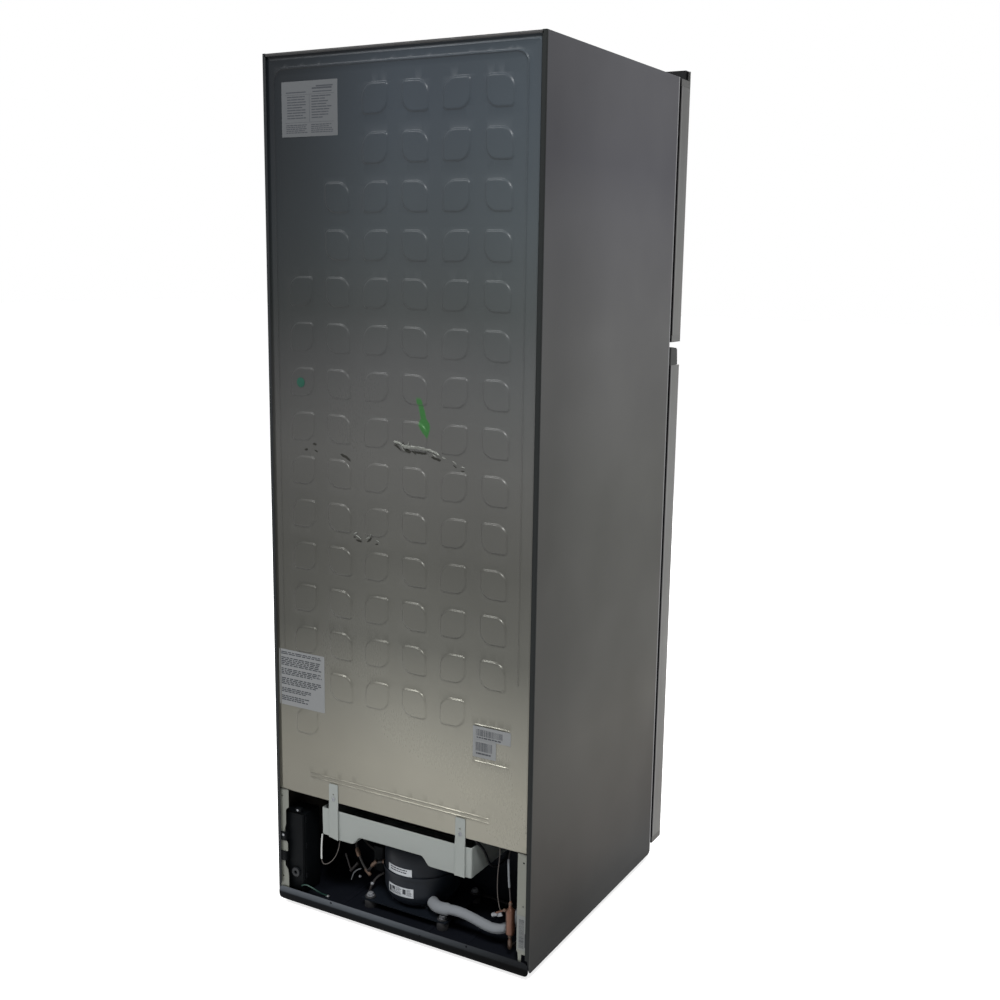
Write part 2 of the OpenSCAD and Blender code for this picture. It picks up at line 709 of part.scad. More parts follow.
// Finned coil with its sheathed defrost heater below
module evaporator() {
    y0 = y_cover + cover_t + 6;
    y1 = y_fz;
    z0 = z_fz0 + 46;
    z1 = z_fan - fan_r - 18;
    half_w = 190;
    rows = floor((z1 - z0 - 20) / 26);
    color("#c9ccd0") {
        for (i = [0 : 15]) let (x = -half_w + i * 2 * half_w / 15)
            block([x - 0.5, y0, z0], [x + 0.5, y1, z1]);
        for (k = [0 : rows], y = [y0 + 13, y1 - 13]) bar_x(-half_w - 8, half_w + 8, y, z0 + 12 + k * 26, 4);
        block([-half_w - 8, y0 + 8, z0], [-half_w - 7, y1, z1]);
        block([half_w + 7, y0 + 8, z0], [half_w + 8, y1, z1]);
        // heater on two clips that hang from the end plates
        bar_x(-half_w - 8, half_w + 8, y0 + 26, z0 - 12, 4);
        both_sides() block([half_w + 7, y0 + 20, z0 - 18], [half_w + 8, y0 + 32, z0]);
    }
}

module fan_motor() {
    color("#3a3c40") difference() {
        union() {
            block([-44, y_fz - 3, z_fan - 44], [44, y_fz, z_fan + 44]);
            bar_y(0, z_fan, y_fz - 26, y_fz - 3, 26);
        }
        bar_y(0, z_fan, y_fz - 27, y_fz - 8, 3 + pin_fit);
    }
}

module fan_blade() {
    hub_y0 = y_fz - 50;
    hub_y1 = y_fz - 32;
    blade_t = 1.6;
    color("#d7dadc") {
        bar_y(0, z_fan, hub_y0, hub_y1, 16);
        bar_y(0, z_fan, hub_y1, y_fz - 9, 3);
        for (i = [0 : 4]) translate([0, (hub_y0 + hub_y1) / 2, z_fan]) rotate([0, i * 72, 0])
            rotate([0, 0, 32]) translate([-11, -blade_t / 2, 12]) cube([22, blade_t, fan_r - 14]);
    }
}

module ice_tray_frame() {
    x0 = tray_x - tray_sweep;
    x1 = tray_x + tray_sweep;
    w = 2;
    color("#e9edef") {
        difference() {
            union() {
                for (y = [tray_y0 - w - 1, tray_y1 + 1])
                    block([x0, y, tray_z - 24], [x1, y + w, z_fz1]);
            }
            bar_y(tray_x, tray_z, tray_y0 - 10, tray_y1 + 10, 5 + pin_fit);
        }
        // rails that tie the two plates together, one against the liner's side wall
        block([-x_fz, tray_y0 - w - 1, tray_z - 8], [x0, tray_y1 + w + 1, tray_z + 8]);
        block([x1, tray_y0 - w - 1, tray_z - 8], [x1 + w, tray_y1 + w + 1, tray_z + 8]);
    }
}

// Twist tray with two rows of pockets, its knob in front
module ice_tray() {
    rows = 7;
    cell_y = (ice_tray_l - 4) / rows;
    cell_x = (ice_tray_w - 6) / 2;
    z1 = tray_z + ice_tray_h / 2;
    color("#cfe3ee") {
        difference() {
            block([tray_x - ice_tray_w / 2, tray_y0, tray_z - ice_tray_h / 2],
                [tray_x + ice_tray_w / 2, tray_y1, z1]);
            for (c = [0, 1], r = [0 : rows - 1])
                block([tray_x - ice_tray_w / 2 + 2 + c * (cell_x + 2), tray_y0 + 2 + r * cell_y,
                    tray_z - ice_tray_h / 2 + 2], [tray_x - ice_tray_w / 2 + 2 + c * (cell_x + 2) + cell_x,
                    tray_y0 + r * cell_y + cell_y, z1 + 1]);
        }
        bar_y(tray_x, tray_z, tray_y0 - 12, tray_y0, 5);
        bar_y(tray_x, tray_z, tray_y1, tray_y1 + 5, 5);
        bar_y(tray_x, tray_z, tray_y0 - 22, tray_y0 - 12, 14);
        block([tray_x - 3, tray_y0 - 30, tray_z - 13], [tray_x + 3, tray_y0 - 20, tray_z + 13]);
    }
}

// Sheets of glass: one in the freezer, three in the fridge
module glass_shelves() {
    color("#bfe0dc") {
        block([shelf_clear - x_fz, y_shelf, z_fz_shelf],
            [x_fz - shelf_clear, y_cover - 2, z_fz_shelf + glass_t]);
        for (z = shelf_zs) block([shelf_clear - x_fr, y_shelf, z],
            [x_fr - shelf_clear, y_fr - duct_t - 2, z + glass_t]);
    }
}

// ---- fridge fittings ----

// Air duct with side outlets
module fridge_duct() {
    z0 = z_bump + 60;
    z1 = z_fr1;
    color("#f4f6f6") difference() {
        block([-duct_half_w, y_fr - duct_t, z0], [duct_half_w, y_fr, z1]);
        block([2 - duct_half_w, y_fr - duct_t + 2, z0 + 2], [duct_half_w - 2, y_fr + 1, z1 - 2]);
        for (z = shelf_zs, s = [-1, 1])
            translate([s * duct_half_w, y_fr - duct_t / 2, z + shelf_pitch / 2 + 16])
                cube([10, 12, 40], center = true);
    }
}

module control_box() {
    color("#eceff0") difference() {
        block([-control_x, control_y0, z_fr1 - control_h], [control_x, control_y1, z_fr1]);
        block([-control_x + 2, control_y0 + 3, z_fr1 - control_h + 2],
            [control_x - 2, control_y1 - 2, z_fr1 + 1]);
        bar_y(knob_x, knob_z, control_y0 - 1, control_y0 + 4, knob_shaft_r + pin_fit);
        // window of the lamp
        block([-70, control_y0 + 30, z_fr1 - control_h - 1],
            [20, control_y0 + 90, z_fr1 - control_h + 3]);
    }
}

module thermostat_knob() {
    color("#f2f2f0") {
        bar_y(knob_x, knob_z, control_y0 - 13, control_y0 - 0.3, knob_r);
        block([knob_x - 2.5, control_y0 - 18, knob_z - knob_r + 2],
            [knob_x + 2.5, control_y0 - 12, knob_z + knob_r - 2]);
        bar_y(knob_x, knob_z, control_y0 - 0.3, control_y0 + 8, knob_shaft_r);
    }
}

module crisper_cover() {
    color("#bfe0dc") block([shelf_clear - x_fr, y_shelf, z_cover],
        [x_fr - shelf_clear, y_fr - 2, z_cover + glass_t]);
}

// Open drawer at +X with a lip that serves as its handle
module crisper() {
    z0 = z_fr0 + crisper_lift;
    z1 = z0 + crisper_h - 6;
    color("#dbe9ee") {
        difference() {
            block([crisper_x0, crisper_y0, z0], [crisper_x1, crisper_y1, z1]);
            block([crisper_x0 + crisper_t, crisper_y0 + crisper_t, z0 + crisper_t],
                [crisper_x1 - crisper_t, crisper_y1 - crisper_t, z1 + 1]);
        }
        block([crisper_x0 + 20, crisper_y0 - 4, z1 - 12], [crisper_x1 - 20, crisper_y0, z1 - 9]);
    }
}
module crisper_right() { crisper(); }
module crisper_left() { mirror([1, 0, 0]) crisper(); }

// ---- hinges ----

module top_hinge() {
    color("#9a9da0") {
        difference() {
            block([plate_x1 - plate_w * 2.4, pin_y + 2, z_top], [plate_x1, y_cab + 60, z_top + plate_t]);
            for (y = [y_cab + 20, y_cab + 46])
                bar_z(plate_x1 - plate_w * 1.8, y, z_top - 1, z_top + plate_t + 1, 3);
        }
        bar_z(pin_x, pin_y, z_top, z_top + plate_t, 8);
        bar_z(pin_x, pin_y, z_fd_top - pin_reach, z_top, pin_r);
    }
}

module hinge_cover() {
    x0 = plate_x1 - plate_w * 2.4 - 5;
    x1 = plate_x1 + 5;
    y0 = y_cab + 4;
    y1 = y_cab + 68;
    z1 = z_top + lip_h - 3;
    color("#2b2d30") difference() {
        block([x0, y0, z_top], [x1, y1, z1]);
        block([x0 + 2, y0 - 1, z_top - 1], [x1 - 2, y1 - 2, z1 - 2]);
    }
}

module middle_hinge() {
    z0 = z_mid - plate_t / 2;
    z1 = z_mid + plate_t / 2;
    color("#9a9da0") {
        block([pin_x - 40, pin_y, z0], [plate_x1, y_cab, z1]);
        bar_z(pin_x, pin_y, z0, z1, 8);
        block([pin_x - 40, y_cab - plate_t, z_mid - door_gap / 2 + 0.5],
            [plate_x1 + 8, y_cab, z_mid + door_gap / 2 - 0.5]);
        bar_z(pin_x, pin_y, z_rd_top - pin_reach, z_fd + pin_reach, pin_r);
    }
}

module bottom_hinge() {
    z1 = z_rd - 2.5;
    z0 = z1 - plate_t;
    color("#9a9da0") {
        block([pin_x - 30, pin_y, z0], [plate_x1, y_cab, z1]);
        bar_z(pin_x, pin_y, z0, z1, 8);
        block([pin_x - 42, y_cab - plate_t, z_side + side_corner_r], [plate_x1 + 10, y_cab, z1]);
        bar_z(pin_x, pin_y, z1, z_rd + pin_reach, pin_r);
    }
}

// ---- machine bay ----

// Black sheet over the foam in the bay: front wall and ceiling
module bay_liner() {
    y1 = y_bay + sheet_t;
    color("#1a1c20") along_x(-x_in + rail_t, x_in - rail_t) polygon([[y_bay, z_floor], [y1, z_floor],
        [y1, z_bay - sheet_t], [y_foam, z_bay - sheet_t], [y_foam, z_bay], [y_bay, z_bay]]);
}

// Tabs that hold the wiring cover to its strip, or the slots that they go through
module cover_tabs(x1) {
    for (z = [cover_z0 + 78, cover_z0 + 128])
        block([cover_x1, cover_y1 - 14, z], [x1, cover_y1 - 2, z + 22]);
}

// Galvanised corner strips on both sides of the bay
module bay_strip() {
    block([strip_x, y_foam, z_floor], [x_in - rail_t, y_panel, z_bay - sheet_t]);
    block([x_in - rail_t - sheet_t, y_foam - 22, z_floor], [x_in - rail_t, y_foam, z_bay - sheet_t]);
}
module bay_strips() {
    color("#b9b9ae") {
        mirror([1, 0, 0]) bay_strip();
        difference() {
            bay_strip();
            cover_tabs(x_in);
        }
    }
}

// Cover of the wiring on the right and the cover of the compressor's terminals
module wiring_covers() {
    w = 2;
    term_x = comp_x + 84;
    color("#17191c") {
        difference() {
            block([cover_x0, cover_y0, cover_z0], [cover_x1, cover_y1, cover_z1]);
            block([cover_x0 + w, cover_y0 - 1, cover_z0 + w], [cover_x1 - w, cover_y1 - w, cover_z1 - w]);
            bar_y(cover_x0 + 22, gland_z, cover_y1 - w - 1, cover_y1 + 1, gland_r);
        }
        cover_tabs(x_in - rail_t);
        // terminal cover on the compressor's side, seated on the shell
        difference() {
            block([term_x - 16, comp_y - 30, z_comp + 40], [term_x + 22, comp_y + 30, z_comp + 96]);
            bar_z(comp_x, comp_y, z_comp, z_comp + compressor_h, compressor_r + 3.3);
        }
    }
}

module compressor() {
    corner = 38;
    seam_z = z_comp + compressor_h * 0.52;
    color("#1b1d20") {
        translate([comp_x, comp_y, z_comp + compressor_h / 2]) rotate_extrude($fn = 64) intersection() {
            round_rect(2 * compressor_r, compressor_h, corner);
            translate([0, -compressor_h]) square([compressor_r * 2, compressor_h * 2]);
        }
        bar_z(comp_x, comp_y, seam_z - 3, seam_z + 3, compressor_r + 3);
        // foot plate with its bolt holes, and the four struts down to it
        difference() {
            block([comp_x - bolt_span_x / 2 - 14, comp_y - bolt_span_y / 2 - 12, z_comp - mount_t],
                [comp_x + bolt_span_x / 2 + 14, comp_y + bolt_span_y / 2 + 12, z_comp]);
            for (sx = [-1, 1], sy = [-1, 1])
                bar_z(comp_x + sx * bolt_span_x / 2, comp_y + sy * bolt_span_y / 2,
                    z_comp - mount_t - 1, z_comp + 1, grommet_r - 3);
        }
        for (a = [45 : 90 : 315]) translate([comp_x, comp_y, z_comp - 0.5]) rotate([0, 0, a])
            translate([compressor_r - corner - 6, -8, 0]) cube([30, 16, 22]);
    }
}

module at_feet() {
    for (sx = [-1, 1], sy = [-1, 1])
        translate([comp_x + sx * bolt_span_x / 2, comp_y + sy * bolt_span_y / 2, 0]) children();
}

module compressor_feet() {
    color("#26282b") at_feet() difference() {
        union() {
            bar_z(0, 0, z_floor, z_comp - mount_t, grommet_r);
            bar_z(0, 0, z_comp - mount_t, z_comp, grommet_r - 3);
            bar_z(0, 0, z_comp, z_comp + 3, grommet_r - 1);
        }
        bar_z(0, 0, z_floor - 1, z_comp + 4, bolt_r);
    }
}

// Bolts of the compressor's feet and screws of the pan straps
module screws() {
    color("#c4c7ca") {
        at_feet() {
            bar_z(0, 0, z_floor, z_comp + 3, bolt_r);
            bar_z(0, 0, z_comp + 3, z_comp + 4.5, 8);
            translate([0, 0, z_comp + 4.5]) cylinder(h = 5, r = 6.5, $fn = 6);
        }
        for (x = strap_xs) bar_y(x, strap_top - 30, y_panel + strap_t, y_panel + strap_t + 1.6, 4);
    }
}

module refrigerant_pipes() {
    color("#3b2f29") {
        tube(smooth(discharge_points), pipe_r);
        tube(smooth(return_points), pipe_r);
        tube(smooth(capillary_points), 1.4, 6);
    }
}

// Foam sleeve on the suction pipe, and the thin sleeve on the capillary
module pipe_sleeves() {
    color("#d9dad6") {
        tube(smooth(suction_points, 2), sleeve_r, 10);
        tube(smooth(capillary_sleeve_points), 2.8);
    }
}

// Copper body with drawn ends and the service stub
module filter_drier() {
    neck = 12;
    color("#b8683f") {
        translate([drier_pos.x, drier_pos.y, drier_z]) rotate_extrude() polygon([[0, -neck], [pipe_r, -neck],
            [drier_r, 0], [drier_r, drier_len], [3, drier_len + neck], [2.2, drier_len + neck + 6],
            [0, drier_len + neck + 6]]);
        tube(smooth(process_points), 2.2, 8);
    }
}

// Crimped aluminium end of the service stub
module pipe_ends() {
    color("#d3d5d3") translate(cap_pos) rotate([0, 65, 174]) {
        cylinder(h = 14, r = 4);
        translate([-5, -1.5, 12]) cube([10, 3, 12]);
    }
}

// White tray over the compressor, hung on two straps at the rear
module drip_pan() {
    w = pan_t;
    a0 = arch_x - arch_half_w;
    a1 = arch_x + arch_half_w;
    color("#e3e6e3") {
        difference() {
            along_y(pan_y0, y_panel) polygon([[pan_x0, pan_z1], [pan_x0, pan_z0], [a0 - arch_slope, pan_z0],
                [a0, pan_z_rise], [a1, pan_z_rise], [a1 + arch_slope, pan_z0], [pan_x1, pan_z0],
                [pan_x1, pan_z1]]);
            along_y(pan_y0 + w, y_panel - w) polygon([[pan_x0 + w, pan_z1 + 1], [pan_x0 + w, pan_z0 + w],
                [a0 - arch_slope - 1, pan_z0 + w], [a0 - 1, pan_z_rise + w], [a1 + 1, pan_z_rise + w],
                [a1 + arch_slope + 1, pan_z0 + w], [pan_x1 - w, pan_z0 + w], [pan_x1 - w, pan_z1 + 1]]);
        }
        for (x = strap_xs) difference() {
            union() {
                block([x - strap_w / 2, y_panel, pan_z0], [x + strap_w / 2, y_panel + strap_t, strap_top]);
                for (s = [-1, 1]) block([x + s * strap_w / 2 - 1, y_panel, pan_z0],
                    [x + s * strap_w / 2 + 1, y_panel + strap_t + 1.5, pan_z1 + 8]);
            }
            bar_y(x, strap_top - 19, y_panel - 1, y_panel + 5, 2);
        }
        // front edge rests on a bracket against the bay's front wall
        for (x = [pan_x - 90, pan_x + 90])
            block([x - 10, y_bay + sheet_t, pan_z1 - 14], [x + 10, pan_y0, pan_z1 - 11]);
    }
}

module pan_pipe() { color("#1c1e20") tube(smooth(pan_pipe_points), pipe_r, 8); }

module drain_hose() { color("#9aa0a2") tube(smooth(drain_points), 5, 8); }

// Held leads: white sensor lead, black lead and the earth wire
module wire_harness() {
    color("#2a2c2e") {
        tube(smooth(white_lead_points), 1.6, 6);
        tube(smooth(black_lead_points), 3, 6);
        tube(smooth(earth_points), 1.5, 6);
    }
}

// Strain relief in the wiring cover, where a mains lead would leave
module cord_gland() {
    x = cover_x0 + 22;
    color("#0f1012") difference() {
        union() {
            bar_y(x, gland_z, cover_y1 - 2, cover_y1, gland_r);
            bar_y(x, gland_z, cover_y1, cover_y1 + 5, gland_r + 3);
        }
        bar_y(x, gland_z, cover_y1 - 3, cover_y1 + 6, 3.6);
    }
}

// Plain paper labels on the rear panel and on the bay's strip: left edge, lower edge, width, height
label_boxes = [[x_side - 171, z_top - 152, 129, 99], [x_side - 125, label_z0, 115, label_z1 - label_z0],
    [48 - x_side, z_side + 445, 81, 26], [79 - x_side, z_side + 410, 50, 35],
    [7 - x_in, z_side + 45, 20, 70]];

module rear_labels() {
    color("#e6e8ea") for (b = label_boxes)
        block([b[0], y_panel, b[1]], [b[0] + b[2], y_panel + label_t, b[1] + b[3]]);
}

// ---- doors ----

// Outline of a door seen from above, its long front edges rounded, grown inwards by d
module door_plan(d) {
    x1 = x_side - d;
    y0 = y_door + d;
    r = door_edge_r - d;
    polygon(concat([[-x1, y_back]], arc([r - x1, y0 + r], r, 180), arc([x1 - r, y0 + r], r, 270),
        [[x1, y_back]]));
}

// Steel skin: front and both sides, from z0 to z1
module door_skin(z0, z1) {
    translate([0, 0, z0]) linear_extrude(z1 - z0) difference() {
        door_plan(0);
        door_plan(skin_t);
        rect([-x_side + skin_t, y_back - 10], [x_side - skin_t, y_back + 1]);
    }
}

// Foam core between the caps
module door_foam(z0, z1) {
    translate([0, 0, z0]) linear_extrude(z1 - z0) intersection() {
        door_plan(skin_t);
        rect([-x_side, y_door], [x_side, y_back - 2]);
    }
}

// Inner panel of a door with its raised ridge ring
module door_liner(z0, z1, ridge_x, ridge_z0, ridge_z1) {
    translate([0, y_back - 2, 0]) block([skin_t - x_side, 0, z0], [x_side - skin_t, 2, z1]);
    along_y(y_back, y_back + ridge_h) difference() {
        translate([0, (ridge_z0 + ridge_z1) / 2]) round_rect(2 * ridge_x, ridge_z1 - ridge_z0, 14);
        translate([0, (ridge_z0 + ridge_z1) / 2])
            square([2 * (ridge_x - ridge_w), ridge_z1 - ridge_z0 - 2 * ridge_w], center = true);
    }
}

// Soft frame between door and cabinet
module gasket(z0, z1) {
    x1 = gasket_x1;
    along_y(y_back, y_cab - gasket_clear) difference() {
        rect([-x1, z0], [x1, z1]);
        rect([gasket_w - x1, z0 + gasket_w], [x1 - gasket_w, z1 - gasket_w]);
    }
}

// Open bin whose ends meet the ridge
module door_bin(x1, z, h) {
    block([-x1, y_back, z], [x1, y_back + bin_d, z + bin_t]);
    block([-x1, y_back + bin_d - bin_t, z], [x1, y_back + bin_d, z + h]);
    for (x = [-x1, x1 - bin_t]) block([x, y_back, z], [x + bin_t, y_back + bin_d, z + h]);
}

module freezer_door_skin() {
    color("#74777a") {
        door_skin(z_fd + door_cap_h, z_fd_top - door_cap_h);
        // the front sheet runs up past the top cap
        block([door_edge_r - x_side, y_door, z_fd_top - door_cap_h],
            [x_side - door_edge_r, y_door + skin_t, z_top + lip_h - 1]);
    }
}

module freezer_door_foam() {
    color("#e8dfb8") door_foam(z_fd + door_cap_h, z_fd_top - door_cap_h);
}

module freezer_door_liner() {
    color("#eef1f2") door_liner(z_fd + door_cap_h, z_fd_top - door_cap_h, fz_ridge_x,
        z_fz0 + ridge_clear, z_fz1 - ridge_clear);
}

// Top cap with the raised edge, and bottom cap with a finger groove; both carry a hinge bore
module freezer_door_caps() {
    z1 = z_fd_top;
    lip_x0 = door_edge_r - x_side;
    lip_x1 = pin_x - 14;    // the thick part ends beside the hinge plate
    color("#2b2d30") {
        difference() {
            union() {
                translate([0, 0, z1 - door_cap_h]) linear_extrude(door_cap_h) intersection() {
                    door_plan(0);
                    rect([-x_side, y_door + skin_t], [x_side, y_back]);
                }
                block([lip_x0, y_door + skin_t, z1 - 1], [lip_x1, y_door + lip_t, z_top + lip_h - 1]);
                block([lip_x0, y_door, z_top + lip_h - 1], [lip_x1, y_door + lip_t, z_top + lip_h]);
            }
            bar_z(pin_x, pin_y, z1 - pin_reach - 0.5, z_top + 50, bush_r);
        }
        difference() {
            translate([0, 0, z_fd]) linear_extrude(door_cap_h) door_plan(0);
            bar_z(pin_x, pin_y, z_fd - 1, z_fd + pin_reach + 0.5, bush_r);
            block([-x_side + 20, y_door + 12, z_fd - 1], [x_side - 80, y_door + 32, z_fd + door_cap_h - 2]);
        }
    }
}

module freezer_gasket() { color("#1d1e20") gasket(z_mid + 17, z_top - 16); }

module freezer_bins() {
    x1 = fz_ridge_x - ridge_w;
    color("#e2edf2") {
        for (k = [0, 1]) door_bin(x1, z_fz0 + ridge_clear + ridge_w + k * freezer_bin_pitch, bin_h);
    }
}

module fridge_door_skin() {
    color("#74777a") door_skin(z_rd + door_cap_h, z_ledge);
}

module fridge_door_foam() {
    color("#e8dfb8") door_foam(z_rd + door_cap_h, z_ledge - 22);
}

module fridge_door_liner() {
    color("#eef1f2") door_liner(z_rd + door_cap_h, z_ledge, fr_ridge_x, z_fr0 + ridge_clear,
        z_fr1 - ridge_clear);
}

// Grip cap on top, set back from the front, with its hand pocket, and the bottom cap
module fridge_door_caps() {
    slope = 6;
    y0 = y_door + grip_setback;
    color("#4a4b4d") {
        difference() {
            union() {
                along_x(-x_side, x_side) polygon([[y_back, z_ledge], [y_back, z_rd_top],
                    [y0 + 24, z_rd_top - 1], [y0 + 8, z_rd_top - slope / 2], [y0 + 3, z_rd_top - slope],
                    [y0, z_ledge + 8], [y0, z_ledge]]);
                // plug that fills the skin's upper end
                translate([0, 0, z_ledge - 22]) linear_extrude(22) intersection() {
                    door_plan(skin_t);
                    rect([-x_side, y_door], [x_side, y_back - 2]);
                }
            }
            bar_z(pin_x, pin_y, z_rd_top - pin_reach - 0.5, z_rd_top + 1, bush_r);
            // hand pocket behind the front sheet
            block([-x_side + 20, y_door + skin_t + 2, z_ledge - 20],
                [x_side - 80, y_door + grip_setback + 10, z_ledge + 22]);
        }
        difference() {
            translate([0, 0, z_rd]) linear_extrude(door_cap_h) door_plan(0);
            bar_z(pin_x, pin_y, z_rd - 1, z_rd + pin_reach + 0.5, bush_r);
        }
    }
}

module fridge_gasket() { color("#1d1e20") gasket(z_rd + 14, z_mid - 17); }

module fridge_bins() {
    x1 = fr_ridge_x - ridge_w;
    z0 = z_fr0 + ridge_clear + ridge_w;
    color("#e2edf2") {
        door_bin(x1, z0, bottle_bin_h);
        for (z = [z0 + bottle_space : bin_pitch : z_fr1 - ridge_clear - ridge_w - bin_h - 20])
            door_bin(x1, z, bin_h);
    }
}

// ---- feet and rollers ----

module foot() {
    color("#1c1d1f") {
        bar_z(foot_x, foot_y, 0, 7, foot_r);
        bar_z(foot_x, foot_y, 7, z_base + 15, foot_thread_r);
    }
}
module foot_right() { foot(); }
module foot_left() { mirror([1, 0, 0]) foot(); }

// Roller with its axle
module roller() {
    color("#3a3c3e") {
        bar_x(roller_x - roller_w / 2, roller_x + roller_w / 2, roller_y, roller_r, roller_r);
        bar_x(roller_x - roller_w / 2 - 4, roller_x + roller_w / 2 + 4, roller_y, roller_r, axle_r);
    }
}
module roller_right() { roller(); }
module roller_left() { mirror([1, 0, 0]) roller(); }

side_panel_left();
side_panel_right();
top_panel();
back_panel();
front_frame();
base_frame();
kick_plate();
bay_liner();
insulation();
freezer_liner();
fridge_liner();
condenser_coil();
evaporator_cover();
evaporator();
fan_motor();
fridge_duct();
control_box();
glass_shelves();
ice_tray_frame();
crisper_cover();
top_hinge();
hinge_cover();
middle_hinge();
bottom_hinge();
bay_strips();
wiring_covers();
compressor();
compressor_feet();
screws();
refrigerant_pipes();
pipe_sleeves();
filter_drier();
pipe_ends();
drip_pan();
pan_pipe();
drain_hose();
wire_harness();
cord_gland();
rear_labels();
freezer_door_skin();
freezer_door_foam();
freezer_door_liner();
freezer_door_caps();
freezer_gasket();
freezer_bins();
fridge_door_skin();
fridge_door_foam();
fridge_door_liner();
fridge_door_caps();
fridge_gasket();
fridge_bins();
crisper_left();
crisper_right();
fan_blade();
ice_tray();
thermostat_knob();
roller_left();
roller_right();
foot_left();
foot_right();
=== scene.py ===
import random
from math import cos, hypot, pi, radians, sin, sqrt

import bmesh
import bpy
from mathutils import Matrix, Vector
from mathutils.geometry import delaunay_2d_cdt


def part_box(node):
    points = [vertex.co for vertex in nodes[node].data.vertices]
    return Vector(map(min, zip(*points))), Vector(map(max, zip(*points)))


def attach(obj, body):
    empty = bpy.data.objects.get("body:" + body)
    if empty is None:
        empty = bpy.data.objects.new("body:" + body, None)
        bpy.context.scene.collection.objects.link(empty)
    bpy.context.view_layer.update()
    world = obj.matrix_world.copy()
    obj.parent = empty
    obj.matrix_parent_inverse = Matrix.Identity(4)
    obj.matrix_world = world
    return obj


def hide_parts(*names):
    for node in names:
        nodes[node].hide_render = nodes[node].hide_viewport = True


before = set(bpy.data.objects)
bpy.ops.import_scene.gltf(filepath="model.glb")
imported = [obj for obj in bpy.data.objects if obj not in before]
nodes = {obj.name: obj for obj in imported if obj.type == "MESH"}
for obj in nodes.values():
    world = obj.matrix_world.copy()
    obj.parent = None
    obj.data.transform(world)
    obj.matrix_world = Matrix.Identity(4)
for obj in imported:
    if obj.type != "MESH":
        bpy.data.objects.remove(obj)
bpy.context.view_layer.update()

shot = {"place": (-1.298, 2.225, 1.334), "yaw": 0.51435, "pitch": -0.18778, "roll": 0.01437,
        "lens": 44.91, "sensor": 36, "shift": 0.0012, "near": 0.05}


def addCamera():
    yaw, pitch = shot["yaw"], shot["pitch"]
    ahead = Vector((sin(yaw) * cos(pitch), -cos(yaw) * cos(pitch), sin(pitch)))
    right = ahead.cross(Vector((0, 0, 1))).normalized()
    up = right.cross(ahead)
    turn = Matrix.Rotation(-shot["roll"], 3, ahead)
    right, up = turn @ right, turn @ up
    data = bpy.data.cameras.new("camera")
    data.lens = shot["lens"]
    data.sensor_width = shot["sensor"]
    data.shift_y = shot["shift"]
    data.clip_start = shot["near"]
    camera = bpy.data.objects.new("camera", data)
    camera.matrix_world = Matrix.Translation(shot["place"]) @ Matrix((right, up, -ahead)).transposed().to_4x4()
    bpy.context.scene.collection.objects.link(camera)
    bpy.context.scene.camera = camera


addCamera()
bpy.context.scene.view_settings.view_transform = "Standard"
print("camera set")

class Wire:  # an output socket that can stand in a sum
    def __init__(self, finish, socket):
        self.finish, self.socket = finish, socket

    def maths(self, operation, first, second):
        return self.finish.node("Math", {"operation": operation}, {0: first, 1: second})

    def __add__(self, other): return self.maths("ADD", self, other)
    def __radd__(self, other): return self.maths("ADD", other, self)
    def __sub__(self, other): return self.maths("SUBTRACT", self, other)
    def __rsub__(self, other): return self.maths("SUBTRACT", other, self)
    def __mul__(self, other): return self.maths("MULTIPLY", self, other)
    def __rmul__(self, other): return self.maths("MULTIPLY", other, self)
    def __truediv__(self, other): return self.maths("DIVIDE", self, other)
    def __pow__(self, other): return self.maths("POWER", self, other)
    def __gt__(self, other): return self.maths("GREATER_THAN", self, other)
    def __lt__(self, other): return self.maths("LESS_THAN", self, other)


def tone(red, green=None, blue=None):  # display colour 0 to 255, as the linear colour that shaders take
    parts = (red, red, red) if green is None else (red, green, blue)
    return tuple((p / 255 / 12.92 if p <= 10 else ((p / 255 + 0.055) / 1.055) ** 2.4) for p in parts) + (1.0,)


